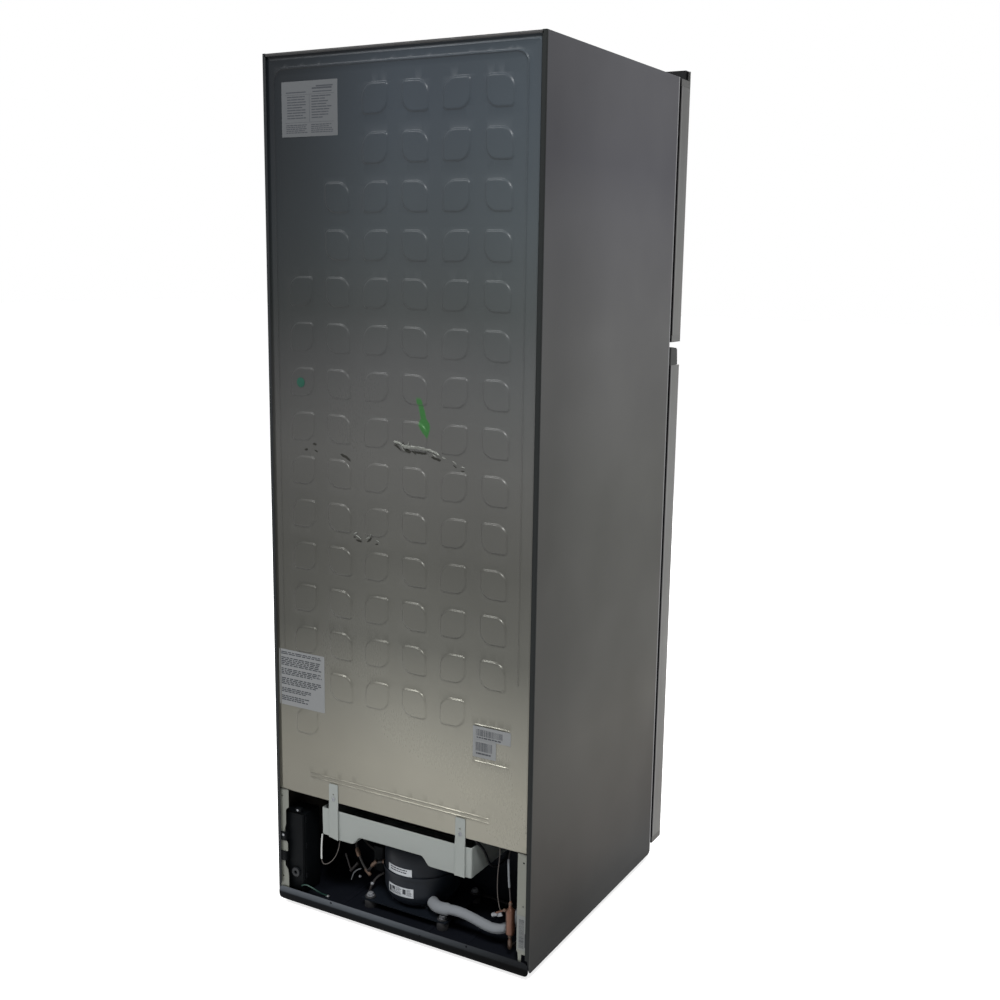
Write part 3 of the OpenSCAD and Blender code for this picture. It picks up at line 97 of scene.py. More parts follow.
class Finish:
    def __init__(self, name, tree=None, **constants):
        if tree:  # the world's own tree, which has no shader for a surface
            self.tree = tree
            return
        self.material = bpy.data.materials.new(name)
        self.material.use_nodes = True
        self.tree = self.material.node_tree
        self.shader = self.tree.nodes["Principled BSDF"]
        self.set(**constants)

    def node(self, kind, settings=None, inputs=None, out=0):
        made = self.tree.nodes.new("ShaderNode" + kind)
        for key, value in (settings or {}).items():
            if key == "stops":
                while len(made.color_ramp.elements) < len(value):
                    made.color_ramp.elements.new(1)
                for element, (place, colour) in zip(made.color_ramp.elements, value):
                    element.position, element.color = place, colour
            else:
                setattr(made, key, value)
        for key, value in (inputs or {}).items():
            self.feed(made.inputs[key], value)
        return Wire(self, made.outputs[out])

    def feed(self, socket, value):
        if isinstance(value, Wire):
            self.tree.links.new(value.socket, socket)
        else:
            socket.default_value = value

    def set(self, **values):  # Base_Color=... goes to the socket "Base Color"
        for key, value in values.items():
            self.feed(self.shader.inputs[key.replace("_", " ")], value)
        return self

    def place(self):
        return self.node("TexCoord", out=3)

    def stretched(self, x, y, z):
        return self.node("Mapping", {}, {"Vector": self.place(), "Scale": (x, y, z)})

    def noise(self, scale, detail=2.0, vector=None):
        return self.node("TexNoise", {}, {"Vector": vector or self.place(), "Scale": scale, "Detail": detail})

    def height(self, axis):
        return self.node("SeparateXYZ", {}, {0: self.place()}, "XYZ".index(axis))

    def between(self, value, low, high, toLow=0.0, toHigh=1.0):
        return self.node("MapRange", {"interpolation_type": "SMOOTHSTEP"},
                         {"Value": value, "From Min": low, "From Max": high, "To Min": toLow, "To Max": toHigh})

    def size(self, value):  # without its sign
        return self.node("Math", {"operation": "ABSOLUTE"}, {0: value})

    def ramp(self, value, stops):
        return self.node("ValToRGB", {"stops": stops}, {"Fac": value})

    def blend(self, factor, first, second):
        return self.node("Mix", {"data_type": "RGBA"}, {0: factor, 6: first, 7: second}, 2)

    def bump(self, height, depth, strength=1.0):
        self.feed(self.shader.inputs["Normal"],
                  self.node("Bump", {}, {"Height": height, "Distance": depth, "Strength": strength}))
        return self


studio = {"worldLight": 0.22, "floorTone": 238, "floorGlow": 0.78, "floorHalf": 30, "floorDrop": 0.0005,
          "aim": (0, 0, 0.9), "lamps": {  # place, power and size of each
              "keyLamp": ((-1.5, 2.3, 3.8), 130, 0.7), "fillLamp": ((1.5, 2.4, 3.5), 60, 1.0),
              "sideLamp": ((-4.4, -0.8, 2.0), 12, 2.2), "frontLamp": ((1.4, -3.8, 2.8), 150, 2.4)}}


def whiteAround(finish, plain, white):  # white to the camera, to mirrors and to glass
    rays = finish.node("LightPath").socket.node.outputs
    seen, mirrored, through = (Wire(finish, rays[f"Is {kind} Ray"]) for kind in ("Camera", "Glossy", "Transmission"))
    return finish.node("MixShader", {}, {0: seen + mirrored + through, 1: plain, 2: white})


def addStage():
    world = bpy.data.worlds.new("surroundings")
    bpy.context.scene.world = world
    world.use_nodes = True
    sky = Finish("sky", world.node_tree)
    base = sky.tree.nodes["Background"]
    base.inputs[0].default_value = (1, 1, 1, 1)
    base.inputs[1].default_value = studio["worldLight"]
    white = sky.node("Background", {}, {0: (1, 1, 1, 1), 1: 1.0})
    sky.feed(sky.tree.nodes["World Output"].inputs[0], whiteAround(sky, Wire(sky, base.outputs[0]), white))
    mesh = bpy.data.meshes.new("floor")
    half = studio["floorHalf"]
    mesh.from_pydata([(-half, -half, 0), (half, -half, 0), (half, half, 0), (-half, half, 0)], [], [(0, 1, 2, 3)])
    floor = bpy.data.objects.new("floor", mesh)
    floor.location.z = -studio["floorDrop"]
    bpy.context.scene.collection.objects.link(floor)
    paint = Finish("paleFloor", Base_Color=tone(studio["floorTone"]), Roughness=0.9)
    glow = paint.node("Emission", {}, {"Color": (1, 1, 1, 1), "Strength": studio["floorGlow"]})
    plain = Wire(paint, paint.shader.outputs[0])
    both = paint.node("AddShader", {}, {0: plain, 1: glow})
    paint.feed(paint.tree.nodes["Material Output"].inputs[0], whiteAround(paint, plain, both))
    mesh.materials.append(paint.material)
    for name, (place, power, size) in studio["lamps"].items():
        lamp = bpy.data.lights.new(name, "AREA")
        lamp.energy, lamp.size = power, size
        holder = bpy.data.objects.new(name, lamp)
        holder.location = place
        holder.rotation_euler = (Vector(studio["aim"]) - Vector(place)).to_track_quat("-Z", "Y").to_euler()
        bpy.context.scene.collection.objects.link(holder)


addStage()
print("floor and lamps set")


finishes = {}
black = (0, 0, 0, 1)
rampTop = 1.75  # m, the height that a ramp over the object's height reaches


def keep(name, finish):
    finishes[name] = finish
    return finish


def darker(colour, share):
    return tuple(c * share for c in colour[:3]) + (1,)


def brushed(name, colour, grainScale, metallic, roughness, depth=0.00002, dark=0.86, **constants):
    made = Finish(name, Metallic=metallic, Roughness=roughness, **constants)
    lines = made.noise(1.0, 3, made.stretched(grainScale, grainScale, 3))
    clouds = made.noise(2.2, 2)
    streaks = made.between(lines * 0.6 + clouds * 0.4, 0.38, 0.64)
    made.set(Base_Color=made.blend(streaks, darker(colour, dark), colour),
             Roughness=made.between(clouds, 0.3, 0.7, roughness - 0.05, roughness + 0.06))
    keep(name, made.bump(lines, depth, 0.35))


def moulded(name, colour, roughness, grain=900, depth=0.00006, spread=0.93, **constants):
    made = Finish(name, Roughness=roughness, **constants)
    clouds = made.noise(6, 3)
    made.set(Base_Color=made.blend(made.between(clouds, 0.35, 0.68), darker(colour, spread), colour),
             Roughness=made.between(clouds, 0.3, 0.7, max(roughness - 0.05, 0.03), roughness + 0.05))
    keep(name, made.bump(made.noise(grain, 2), depth, 0.4))


def clearFinish(name, colour, roughness, transmission, ior=1.5):
    made = Finish(name, Roughness=roughness, IOR=ior, Transmission_Weight=transmission)
    keep(name, made.set(Base_Color=made.blend(made.noise(9, 2), darker(colour, 0.96), colour)))


brushed("frameSteel", tone(112, 113, 115), 500, 0.1, 0.42, 0.00001, 0.95)
brushed("zincSteel", tone(196, 198, 200), 120, 0.95, 0.32)
brushed("galvanised", tone(104, 106, 99), 35, 0.2, 0.45, 0.00003, 0.9)
brushed("aluminium", tone(205, 207, 210), 200, 0.95, 0.34)
brushed("crimpMetal", tone(128, 130, 134), 200, 0.3, 0.4, Specular_IOR_Level=0.2)
brushed("copperTube", tone(92, 62, 48), 140, 0.6, 0.35, 0.00002, 0.5)
moulded("whiteLiner", tone(236, 239, 240), 0.22, 300, 0.00002, 0.985)
moulded("darkPlastic", tone(44, 45, 48), 0.42)
# near-black paint for the door hem: painted shade of the gap round the door
moulded("gapShadeBlack", tone(3, 3, 4), 0.6, Specular_IOR_Level=0.04)
moulded("blackPlastic", tone(20, 22, 25), 0.5, Specular_IOR_Level=0.25)
moulded("coverPlastic", tone(7, 9, 11), 0.6, Specular_IOR_Level=0.06)
moulded("rubber", tone(28, 28, 30), 0.7, 500, 0.0001)
moulded("darkPipe", tone(36, 33, 33), 0.4, 300, Specular_IOR_Level=0.3)
moulded("compressorPaint", tone(20, 24, 30), 0.4, 700, 0.00004, 0.85, Specular_IOR_Level=0.12)
moulded("bayBlack", tone(15, 18, 25), 0.6, Specular_IOR_Level=0.1)
moulded("sleeveFoam", tone(113, 117, 121), 0.85, 1400, 0.0004, 0.86)
moulded("panPlastic", tone(129, 134, 131), 0.45, 400, 0.00003, 0.96)
moulded("greyHose", tone(150, 154, 156), 0.5)
moulded("blackWire", tone(15, 15, 18), 0.45, Specular_IOR_Level=0.2)
moulded("brownWire", tone(58, 52, 48), 0.5)
moulded("whiteWire", tone(186, 188, 186), 0.4)
moulded("greenWire", tone(18, 52, 44), 0.4)
moulded("dullPaper", tone(170, 174, 178), 0.6, 1200, 0.00002, 0.95)
moulded("ink", tone(58, 60, 64), 0.6, Specular_IOR_Level=0.1)
moulded("foamCore", tone(226, 214, 168), 0.9, 600, 0.0004, 0.85)
moulded("fanPlastic", tone(212, 215, 217), 0.45)
moulded("rollerNylon", tone(52, 53, 55), 0.5)
moulded("greenSticker", tone(22, 64, 52), 0.5, Specular_IOR_Level=0.2)
moulded("tornSteel", tone(120, 122, 117), 0.4, 300, 0.0006, 0.6, Metallic=0.1, Specular_IOR_Level=0.2)
moulded("tearShade", tone(48, 48, 45), 0.9, Specular_IOR_Level=0.05)
moulded("brazed", tone(92, 74, 62), 0.45, 300, 0.0002, 0.5, Metallic=0.5)
clearFinish("clearPlastic", tone(234, 240, 242), 0.1, 0.88)
clearFinish("trayBlue", tone(190, 216, 232), 0.3, 0.35)
clearFinish("shelfGlass", tone(222, 240, 234), 0.03, 0.92, 1.45)

steelRows = {  # paint colour of each painted sheet mixed with painted reflection and shading that change with height: (height in m, red, green, blue)
    "side": [(0.016, 28, 28, 28), (0.066, 33, 33, 31), (0.14, 53, 50, 46), (0.245, 69, 66, 61), (0.42, 88, 86, 81),
             (0.54, 88, 87, 83), (0.9, 93, 93, 90), (1.2, 106, 106, 106), (1.42, 97, 97, 100), (1.52, 87, 87, 92),
             (1.64, 91, 91, 95), (1.72, 93, 93, 97)],
    "rear": [(0.257, 132, 130, 120), (0.36, 129, 127, 117), (0.47, 116, 115, 107), (0.62, 87, 87, 82),
             (0.78, 80, 80, 76), (0.97, 84, 84, 82), (1.15, 73, 74, 74), (1.25, 63, 66, 66), (1.4, 60, 65, 68),
             (1.6, 54, 60, 66), (1.72, 48, 54, 60)],
    "door": [(0.05, 72, 70, 65), (0.176, 78, 75, 70), (0.35, 86, 84, 79), (0.57, 92, 91, 87), (0.9, 114, 114, 112),
             (1.22, 112, 112, 110), (1.44, 104, 105, 103), (1.62, 86, 86, 85)]}


def byHeight(made, rows):
    return made.ramp(made.height("Z") / rampTop, [(z / rampTop, tone(*colour)) for z, *colour in steelRows[rows]])


def paintedSheet(name, rows, metallic, roughness, gloss=0.14):  # painted sheet whose colour, its paint with painted reflection and shading, drifts with height
    made = Finish(name, Metallic=metallic, Roughness=roughness, Specular_IOR_Level=gloss)
    clouds = made.noise(2.6, 3)
    grain = made.noise(1.0, 2, made.stretched(420, 420, 140))
    made.set(Roughness=made.between(clouds * 0.85 + grain * 0.15, 0.3, 0.7, roughness - 0.04, roughness + 0.06))
    keep(name, made.bump(grain, 0.00001, 0.15))
    return made, made.blend(made.between(clouds, 0.3, 0.72) * 0.14, byHeight(made, rows), black)


def addSideSteel():
    side, shade = paintedSheet("sideSteel", "side", 0.0, 0.42, 0.05)
    y = side.height("Y")
    # painted shade: darker towards the rear edge
    shade = side.blend(side.between(y, -0.16, 0.31) ** 1.6 * 0.33, shade, black)
    shade = side.blend(side.between(y, -0.2562, -0.2574), shade, tone(150, 150, 152))  # painted highlight along the front fold
    # the dark rear flange; its slightly darker tone on the -X side is painted shade
    flange = side.blend(side.between(side.height("X"), -0.1, 0.1), tone(35, 37, 37), tone(40, 42, 44))
    side.set(Base_Color=side.blend(side.between(y, 0.3195, 0.3212), shade, flange))


def addRearSteel():
    rear, shade = paintedSheet("rearSteel", "rear", 0.0, 0.3)
    x, z = rear.height("X"), rear.height("Z")
    # painted shade towards the +X edge, strongest near the top
    rising = rear.between(z, 0.95, 1.65) * 0.47 + rear.between(z, 0.75, 0.55) * 0.09
    shade = rear.blend(rear.between(x, -0.06, 0.3) * (rising + 0.27), shade, black)
    # painted shade low on the -X side and a faint painted highlight higher up on it
    right = rear.between(x, -0.05, -0.3)
    shade = rear.blend(right * rear.between(z, 0.9, 0.5) * 0.1, shade, black)
    shade = rear.blend(right * rear.between(z, 0.85, 1.15) * 0.025, shade, tone(150, 168, 172))
    along = (1.091 - z) / 0.072  # the marker's arrow, from its tail to its tip
    off = rear.size(x + 0.05 + along * 0.017)
    width = rear.between(along, 0.48, 0.62) * 0.0055 - rear.between(along, 0.7, 1.04) * 0.011 + 0.0062
    inked = rear.between(width - off + rear.noise(90, 2) * 0.004, 0.0005, 0.0045) * rear.between(along, -0.06, 0.06)
    shade = rear.blend(inked * (1 - rear.between(along, 0.97, 1.08)) * 0.72, shade, tone(26, 96, 30))
    rear.set(Metallic=rear.between(z, 1.3, 0.3) * 0.45)
    gapShadow = rear.between(0 - x, 0.2886, 0.2892)  # painted shadow in the gap beside one flange
    rear.set(Base_Color=rear.blend(gapShadow, shade, tone(3, 3, 4)))


def addDoorSteel():
    door, shade = paintedSheet("doorSteel", "door", 0.08, 0.36)
    y = door.height("Y")
    shade = door.blend(door.between(y, -0.2815, -0.2795), shade, door.blend(0.05, shade, tone(255)))  # painted highlight along the rear fold
    # painted shadow of the gap behind the door's rear edge
    shade = door.blend(door.between(y, -0.2752, -0.2742), shade, black)
    lines = door.noise(1.0, 3, door.stretched(620, 620, 3))  # long upright brush lines
    door.set(Base_Color=door.blend(door.between(lines, 0.4, 0.62) * 0.1, shade, tone(150, 151, 150)))
    door.bump(lines, 0.00001, 0.25)


def capFinish(name, plastic, low, high):  # plastic, with the door's steel over its sides between these heights, in the door's ramp of painted reflection and shading
    made = Finish(name, Roughness=0.45, Specular_IOR_Level=0.15)
    facing = made.node("SeparateXYZ", {}, {0: made.node("TexCoord", out=1)}, 2)
    outside = made.between(made.size(facing), 0.6, 0.5) * made.between(made.height("Y"), -0.2712, -0.2714)
    z = made.height("Z")
    outside = outside * made.between(z, low - 0.0002, low) * made.between(z, high + 0.0002, high)
    outside = outside * (made.size(made.height("X")) > 0.2925)
    body = made.blend(made.noise(6, 3), darker(plastic, 0.9), plastic)
    made.set(Base_Color=made.blend(outside, body, byHeight(made, "door")))
    keep(name, made.bump(made.noise(900, 2), 0.00004, 0.3))


def addBaseSteel():
    base = Finish("baseSteel", Specular_IOR_Level=0.03)
    # painted shade and light on the lip: dark along its lower part, lighter towards its upper edge
    stops = [(0.0, tone(8, 9, 11)), (0.5, tone(14, 16, 19)), (0.68, tone(66, 70, 75)), (1.0, tone(82, 86, 91))]
    lip = base.ramp(base.between(base.height("Z"), 0.010, 0.0385), stops)
    # painted shade, darker towards the -X end
    lip = base.blend(base.between(base.height("X"), 0.12, -0.3) * 0.86, lip, black)
    base.set(Base_Color=base.blend(base.between(base.height("Y"), 0.3215, 0.3225), tone(17, 19, 24), lip),
             Roughness=base.between(base.noise(30, 3), 0.3, 0.7, 0.36, 0.5))
    keep("baseSteel", base.bump(base.noise(500, 2), 0.00003, 0.4))


def addRoofSteel():  # the lid, with painted shade on its rear fold
    roof = Finish("blackSteel", Specular_IOR_Level=0.3)
    shade = roof.blend(roof.between(roof.noise(2.4, 3), 0.35, 0.65), tone(33, 35, 39), tone(38, 40, 44))
    roof.set(Base_Color=roof.blend(roof.between(roof.height("Y"), 0.3175, 0.3205), shade, tone(3, 3, 4)),
             Roughness=roof.between(roof.noise(30, 3), 0.3, 0.7, 0.4, 0.5))
    keep("blackSteel", roof.bump(roof.noise(1.0, 2, roof.stretched(300, 3, 300)), 0.00001, 0.3))


def addPaper():  # painted shade: the labels grow darker with height like the sheet round them, the upper label most
    paper = Finish("paper", Specular_IOR_Level=0.2)
    z = paper.height("Z")
    clean = paper.ramp(z, [(0.15, tone(112, 115, 114)), (0.3, tone(119, 121, 122))])
    paper.set(Base_Color=paper.blend(paper.between(z, 0.6, 1.6) * 0.64, clean, tone(30, 34, 40)),
              Roughness=paper.between(paper.noise(900, 2), 0.3, 0.7, 0.55, 0.65))
    keep("paper", paper)


addSideSteel()
addRearSteel()
addDoorSteel()
capFinish("freezerCaps", tone(9, 10, 12), 1.17, 1.7112)
capFinish("gripPlastic", tone(52, 53, 52), 0.03, 0.1)
addBaseSteel()
addRoofSteel()
addPaper()
print("finishes mixed:", len(finishes))


nodeFinish = {
    "sideSteel": "side_panel_left side_panel_right", "frameSteel": "front_frame", "rearSteel": "back_panel",
    "blackSteel": "top_panel", "baseSteel": "base_frame", "bayBlack": "bay_liner",
    "darkPlastic": "kick_plate hinge_cover",
    "freezerCaps": "freezer_door_caps", "foamCore": "insulation freezer_door_foam fridge_door_foam",
    "copperTube": "condenser_coil filter_drier",
    "whiteLiner": "freezer_liner fridge_liner evaporator_cover fridge_duct "
    "control_box ice_tray_frame freezer_door_liner fridge_door_liner thermostat_knob", "aluminium": "evaporator",
    "crimpMetal": "pipe_ends", "blackPlastic": "fan_motor wiring_covers cord_gland foot_left foot_right",
    "shelfGlass": "glass_shelves crisper_cover", "zincSteel": "top_hinge middle_hinge bottom_hinge screws",
    "galvanised": "bay_strips", "compressorPaint": "compressor",
    "rubber": "compressor_feet freezer_gasket fridge_gasket",
    "darkPipe": "refrigerant_pipes pan_pipe", "sleeveFoam": "pipe_sleeves", "panPlastic": "drip_pan",
    "greyHose": "drain_hose", "blackWire": "wire_harness", "paper": "rear_labels",
    "doorSteel": "freezer_door_skin fridge_door_skin", "gripPlastic": "fridge_door_caps",
    "clearPlastic": "freezer_bins fridge_bins crisper_left crisper_right", "fanPlastic": "fan_blade",
    "trayBlue": "ice_tray", "rollerNylon": "roller_left roller_right"}
for finishName, users in nodeFinish.items():
    for user in users.split():
        nodes[user].data.materials.clear()
        nodes[user].data.materials.append(finishes[finishName].material)
print("finishes on", sum(len(users.split()) for users in nodeFinish.values()), "frame nodes")


def addPiece(name, shape, finish, body, replaces=(), smooth=50):  # shape is (points in mm, faces)
    mesh = bpy.data.meshes.new(name)
    mesh.from_pydata([tuple(value / 1000 for value in point) for point in shape[0]], [], shape[1])
    mesh.validate()
    work = bmesh.new()
    work.from_mesh(mesh)
    bmesh.ops.recalc_face_normals(work, faces=work.faces)
    work.to_mesh(mesh)
    work.free()
    mesh.update()
    for face in mesh.polygons:
        face.use_smooth = True
    mesh.set_sharp_from_angle(angle=radians(smooth))
    mesh.materials.append(finishes[finish].material)
    piece = bpy.data.objects.new(name, mesh)
    bpy.context.scene.collection.objects.link(piece)
    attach(piece, body)
    if replaces:
        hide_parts(*replaces)


def smoothStep(value, low, high):
    t = max(0, min(1, (value - low) / (high - low)))
    return t * t * (3 - 2 * t)


def bend(start, corner, end, steps):  # points from start to end, pulled towards the corner
    for step in range(steps + 1):
        t = step / steps
        yield (1 - t) ** 2 * start + 2 * t * (1 - t) * corner + t ** 2 * end


def rounded(points, steps=3):  # a route with its corners rounded off
    points = [Vector(point) for point in points]
    route = [points[0]]
    for before, corner, after in zip(points, points[1:], points[2:]):
        route.extend(bend(corner.lerp(before, 0.5), corner, corner.lerp(after, 0.5), steps))
    route.append(points[-1])
    clean = [route[0]]
    for point in route[1:]:
        if (point - clean[-1]).length > 0.05:
            clean.append(point)
    return clean


def spread(route, gap):  # the same route at even gaps
    out, carry = [route[0]], gap
    for start, end in zip(route, route[1:]):
        length = (end - start).length
        while carry <= length:
            out.append(start.lerp(end, carry / length))
            carry += gap
        carry -= length
    if (route[-1] - out[-1]).length > gap * 0.3:
        out.append(route[-1])
    return out


def loft(shape, loops, closed=False):  # joins loops of points, back to the first or with a face at each end
    points, faces = shape
    first, n = len(points), len(loops[0])
    for loop in loops:
        points.extend(loop)
    for k in range(len(loops) - (0 if closed else 1)):
        a, b = first + k * n, first + (k + 1) % len(loops) * n
        faces.extend((a + i, a + (i + 1) % n, b + (i + 1) % n, b + i) for i in range(n))
    if not closed:
        faces.append(tuple(first + i for i in reversed(range(n))))
        faces.append(tuple(first + (len(loops) - 1) * n + i for i in range(n)))
    return shape


def twoSkins(shape, front, back, count):  # two equal grids of points, count to a row, joined round their rim
    points, faces = shape
    first, n, last = len(points), len(front), len(front) // count - 1
    points.extend(front + back)
    for skin in (first, first + n):
        for row in range(last):
            a = skin + row * count
            faces.extend((a + i, a + i + 1, a + count + i + 1, a + count + i) for i in range(count - 1))
    rim = list(range(count)) + [row * count - 1 for row in range(2, last + 2)]
    rim += [last * count + i for i in range(count - 2, -1, -1)] + [row * count for row in range(last - 1, 0, -1)]
    faces.extend((first + a, first + b, first + n + b, first + n + a) for a, b in zip([rim[-1]] + rim, rim))
    return shape


def sweep(shape, points, gap, radius, sides=14, steps=5, swell=None):
    # adds a tube along a route with rounded corners; swell(angle, travelled) scales its radius
    route = spread(rounded(points, steps), gap)
    ahead = (route[1] - route[0]).normalized()
    side = ahead.orthogonal().normalized()
    travelled, rings = 0.0, []
    for i, place in enumerate(route):
        if 0 < i < len(route) - 1:
            new = ((route[i + 1] - place).normalized() + (place - route[i - 1]).normalized()).normalized()
        else:
            new = (route[-1] - route[-2]).normalized() if i else ahead
        side = (ahead.rotation_difference(new) @ side).normalized()
        side = (side - new * side.dot(new)).normalized()
        ahead = new
        other = ahead.cross(side)
        travelled += (place - route[i - 1]).length if i else 0
        ring = []
        for angle in (2 * pi * k / sides for k in range(sides)):
            r = radius * (swell(angle, travelled) if swell else 1)
            ring.append(tuple(place + (side * cos(angle) + other * sin(angle)) * r))
        rings.append(ring)
    return loft(shape, rings)


def turned(shape, profile, place, axis=(0, 0, 1), sides=32):  # a lathe shape: profile is [(radius, along)...]
    axis = Vector(axis).normalized()
    side = axis.orthogonal().normalized()
    other = axis.cross(side)
    angles = [2 * pi * k / sides for k in range(sides)]
    return loft(shape, [[tuple(Vector(place) + axis * along + (side * cos(angle) + other * sin(angle))
                               * max(radius, 0.01)) for angle in angles] for radius, along in profile])


def roundedBox(x, z, halfX, halfZ, radii, steps):  # outline, anticlockwise, radii for ++, -+, --, +-
    loop = []
    for (sx, sz), radius, start in zip(((1, 1), (-1, 1), (-1, -1), (1, -1)), radii, (0, 90, 180, 270)):
        radius = max(radius, 0.4)
        for step in range(steps + 1):
            angle = radians(start + 90 * step / steps)
            loop.append((x + sx * (halfX - radius) + radius * cos(angle),
                         z + sz * (halfZ - radius) + radius * sin(angle)))
    return loop


def ringAt(axis, at, box, inset, radii, steps=3):  # a rounded rectangle across this axis; box is its two ranges
    a0, a1, b0, b1 = box
    loop = roundedBox((a0 + a1) / 2, (b0 + b1) / 2, (a1 - a0) / 2 - inset, (b1 - b0) / 2 - inset,
                      [radius - inset for radius in radii], steps)
    if axis == "x":
        return [(at, a, b) for a, b in loop]
    return [(a, at, b) if axis == "y" else (a, b, at) for a, b in loop]


def tub(shape, box, levels, radii, axis="z", steps=4):  # an open or closed form through (inset, height) levels
    return loft(shape, [ringAt(axis, at, box, inset, radii, steps) for inset, at in levels])


def lobed(radius, cut, lobes, count):  # a circle with this many shallow grooves
    for angle in (2 * pi * k / count for k in range(count)):
        r = radius - cut * (0.5 + 0.5 * cos(lobes * angle))
        yield r * cos(angle), r * sin(angle)


def frameRing(shape, box, profile, corner, axis="y", steps=4):  # a closed section run round a rounded rectangle
    return loft(shape, [ringAt(axis, at, box, inset, [corner] * 4, steps) for inset, at in profile], True)


def roundBlock(shape, low, high, radius, steps=3):  # a box with rounded upright edges and softened ends
    levels = [(0.8, low[2]), (0.25, low[2] + 0.25), (0, low[2] + 0.9),
              (0, high[2] - 0.9), (0.25, high[2] - 0.25), (0.8, high[2])]
    return tub(shape, (low[0], high[0], low[1], high[1]), levels, [radius] * 4, steps=steps)


def slab(shape, low, high, edge=0.6):  # a block with its edges cut back
    points, faces = shape
    low, high = Vector(low), Vector(high)
    edge = min([edge] + [(high[i] - low[i]) * 0.3 for i in range(3)])
    signs = [tuple(1 if corner >> i & 1 else -1 for i in range(3)) for corner in range(8)]
    grid = {}
    for sign in signs:
        at = [high[i] if sign[i] > 0 else low[i] for i in range(3)]
        for axis in range(3):  # one point of the corner for each of its three faces
            grid[sign, axis] = len(points)
            points.append(tuple(at[i] - (0 if i == axis else sign[i] * edge) for i in range(3)))

    def signAt(axis, along, a, b):
        sign = [0, 0, 0]
        sign[axis], sign[(axis + 1) % 3], sign[(axis + 2) % 3] = along, a, b
        return tuple(sign)

    for axis in range(3):
        u, v = (axis + 1) % 3, (axis + 2) % 3
        for s in (-1, 1):
            faces.append(tuple(grid[signAt(axis, s, a, b), axis] for a, b in ((-1, -1), (1, -1), (1, 1), (-1, 1))))
        for a, b in ((-1, -1), (-1, 1), (1, -1), (1, 1)):  # the cut-back edges along this axis
            start, end = signAt(axis, -1, a, b), signAt(axis, 1, a, b)
            faces.append((grid[start, u], grid[end, u], grid[end, v], grid[start, v]))
    faces.extend(tuple(grid[sign, axis] for axis in range(3)) for sign in signs)
    return shape


def plate(shape, loops, back, front, gap=9):
    # adds a sheet that faces the rear: loops[0] is its outline in (x, z), the others are holes in it;
    # back and front give y, front as a function of (x, z)
    flat, edges, rings = [], [], []
    for loop in loops:
        if sum(loop[i - 1][0] * z - x * loop[i - 1][1] for i, (x, z) in enumerate(loop)) <= 0:
            loop = loop[::-1]
        first = len(flat)
        flat.extend(Vector(point) for point in loop)
        rings.append(list(range(first, len(flat))))
        edges.extend((rings[-1][i - 1], rings[-1][i]) for i in range(len(loop)))
    spanX, spanZ = [sorted(point[axis] for point in loops[0]) for axis in (0, 1)]
    for i in range(1, int((spanX[-1] - spanX[0]) / gap)):
        for j in range(1, int((spanZ[-1] - spanZ[0]) / gap)):
            flat.append(Vector((spanX[0] + i * gap, spanZ[0] + j * gap)))
    verts, _, tris, origVerts, _, origFaces = delaunay_2d_cdt(flat, edges, rings, 1, 1e-4, True)
    where = {old: new for new, olds in enumerate(origVerts) for old in olds}
    points, faces = shape
    first, n = len(points), len(verts)
    points.extend((v.x, front(v.x, v.y), v.y) for v in verts)
    points.extend((v.x, back, v.y) for v in verts)
    for tri, inside in zip(tris, origFaces):
        if inside and all(index == 0 for index in inside):
            faces.append(tuple(first + i for i in tri))
            faces.append(tuple(first + n + i for i in reversed(tri)))
    for ring in rings:
        for i in range(len(ring)):
            a, b = first + where[ring[i - 1]], first + where[ring[i]]
            faces.append((a, b, b + n, a + n))
    return shape


def circle(x, z, radius, count=20):
    return [(x + radius * cos(2 * pi * k / count), z + radius * sin(2 * pi * k / count))
            for k in range(count)]


def cutCorners(loop, radius, steps=4):  # the same outline with its corners rounded
    out = []
    for i, corner in enumerate(loop):
        corner, before, after = Vector(corner), Vector(loop[i - 1]), Vector(loop[(i + 1) % len(loop)])
        share = min(radius, (before - corner).length * 0.45, (after - corner).length * 0.45)
        start = corner + (before - corner).normalized() * share
        end = corner + (after - corner).normalized() * share
        out.extend(tuple(point) for point in bend(start, corner, end, steps))
    return out


def denser(loop, gap):  # the same outline with points at least this close
    out = []
    for i, point in enumerate(loop):
        before = Vector(loop[i - 1])
        steps = max(1, round((Vector(point) - before).length / gap))
        out.extend(tuple(before.lerp(Vector(point), (k + 1) / steps)) for k in range(steps))
    return out


rear = {"face": 320.5, "rimX": 294, "rimTop": 1707, "sideX": 298.95, "top": 1711.95, "bottom": 257.05, "step": 4.0,
        "leafHigh": 2.5, "deeper": 0.7, "leafHalf": 29, "leafRound": 26, "leafTight": 9, "cornerSteps": 7,
        "firstX": 218, "firstZ": 1622, "pitch": 86, "leafSlope": [0, 1.0, 2.1, 3.2, 4.4], "columns": 16, "rows": 40,
        "arch": (274, -265.5, 1684, 564, 22), "beadHigh": 2.0, "beadSlope": [2.4, 1.7, 1.0, 0.35],
        "edgeArch": (286.4, -286.4, 1700, 262, 4), "edgeHigh": 0.9, "edgeSlope": [1.8, 1.2, 0.5],
        "lowBeads": ((-207, 212, 299), (-207, 212, 307.5), (-247, -172, 417.6), (-247, -172, 490)),
        "lowHigh": 1.8, "lowSlope": [2.0, 1.3, 0.4], "wave": 0.28, "labelLow": 439}
leafRows = [list(range(4, 13)) + [14], range(2, 14), range(14), range(14), range(14), range(13)]


def leafRing(x, z, mirrored, inset):
    big, small = rear["leafRound"] - inset, rear["leafTight"] - inset
    radii = (small, big, small, big) if mirrored else (big, small, big, small)
    return roundedBox(x, z, rear["leafHalf"] - inset, rear["leafHalf"] - inset, radii, rear["cornerSteps"])


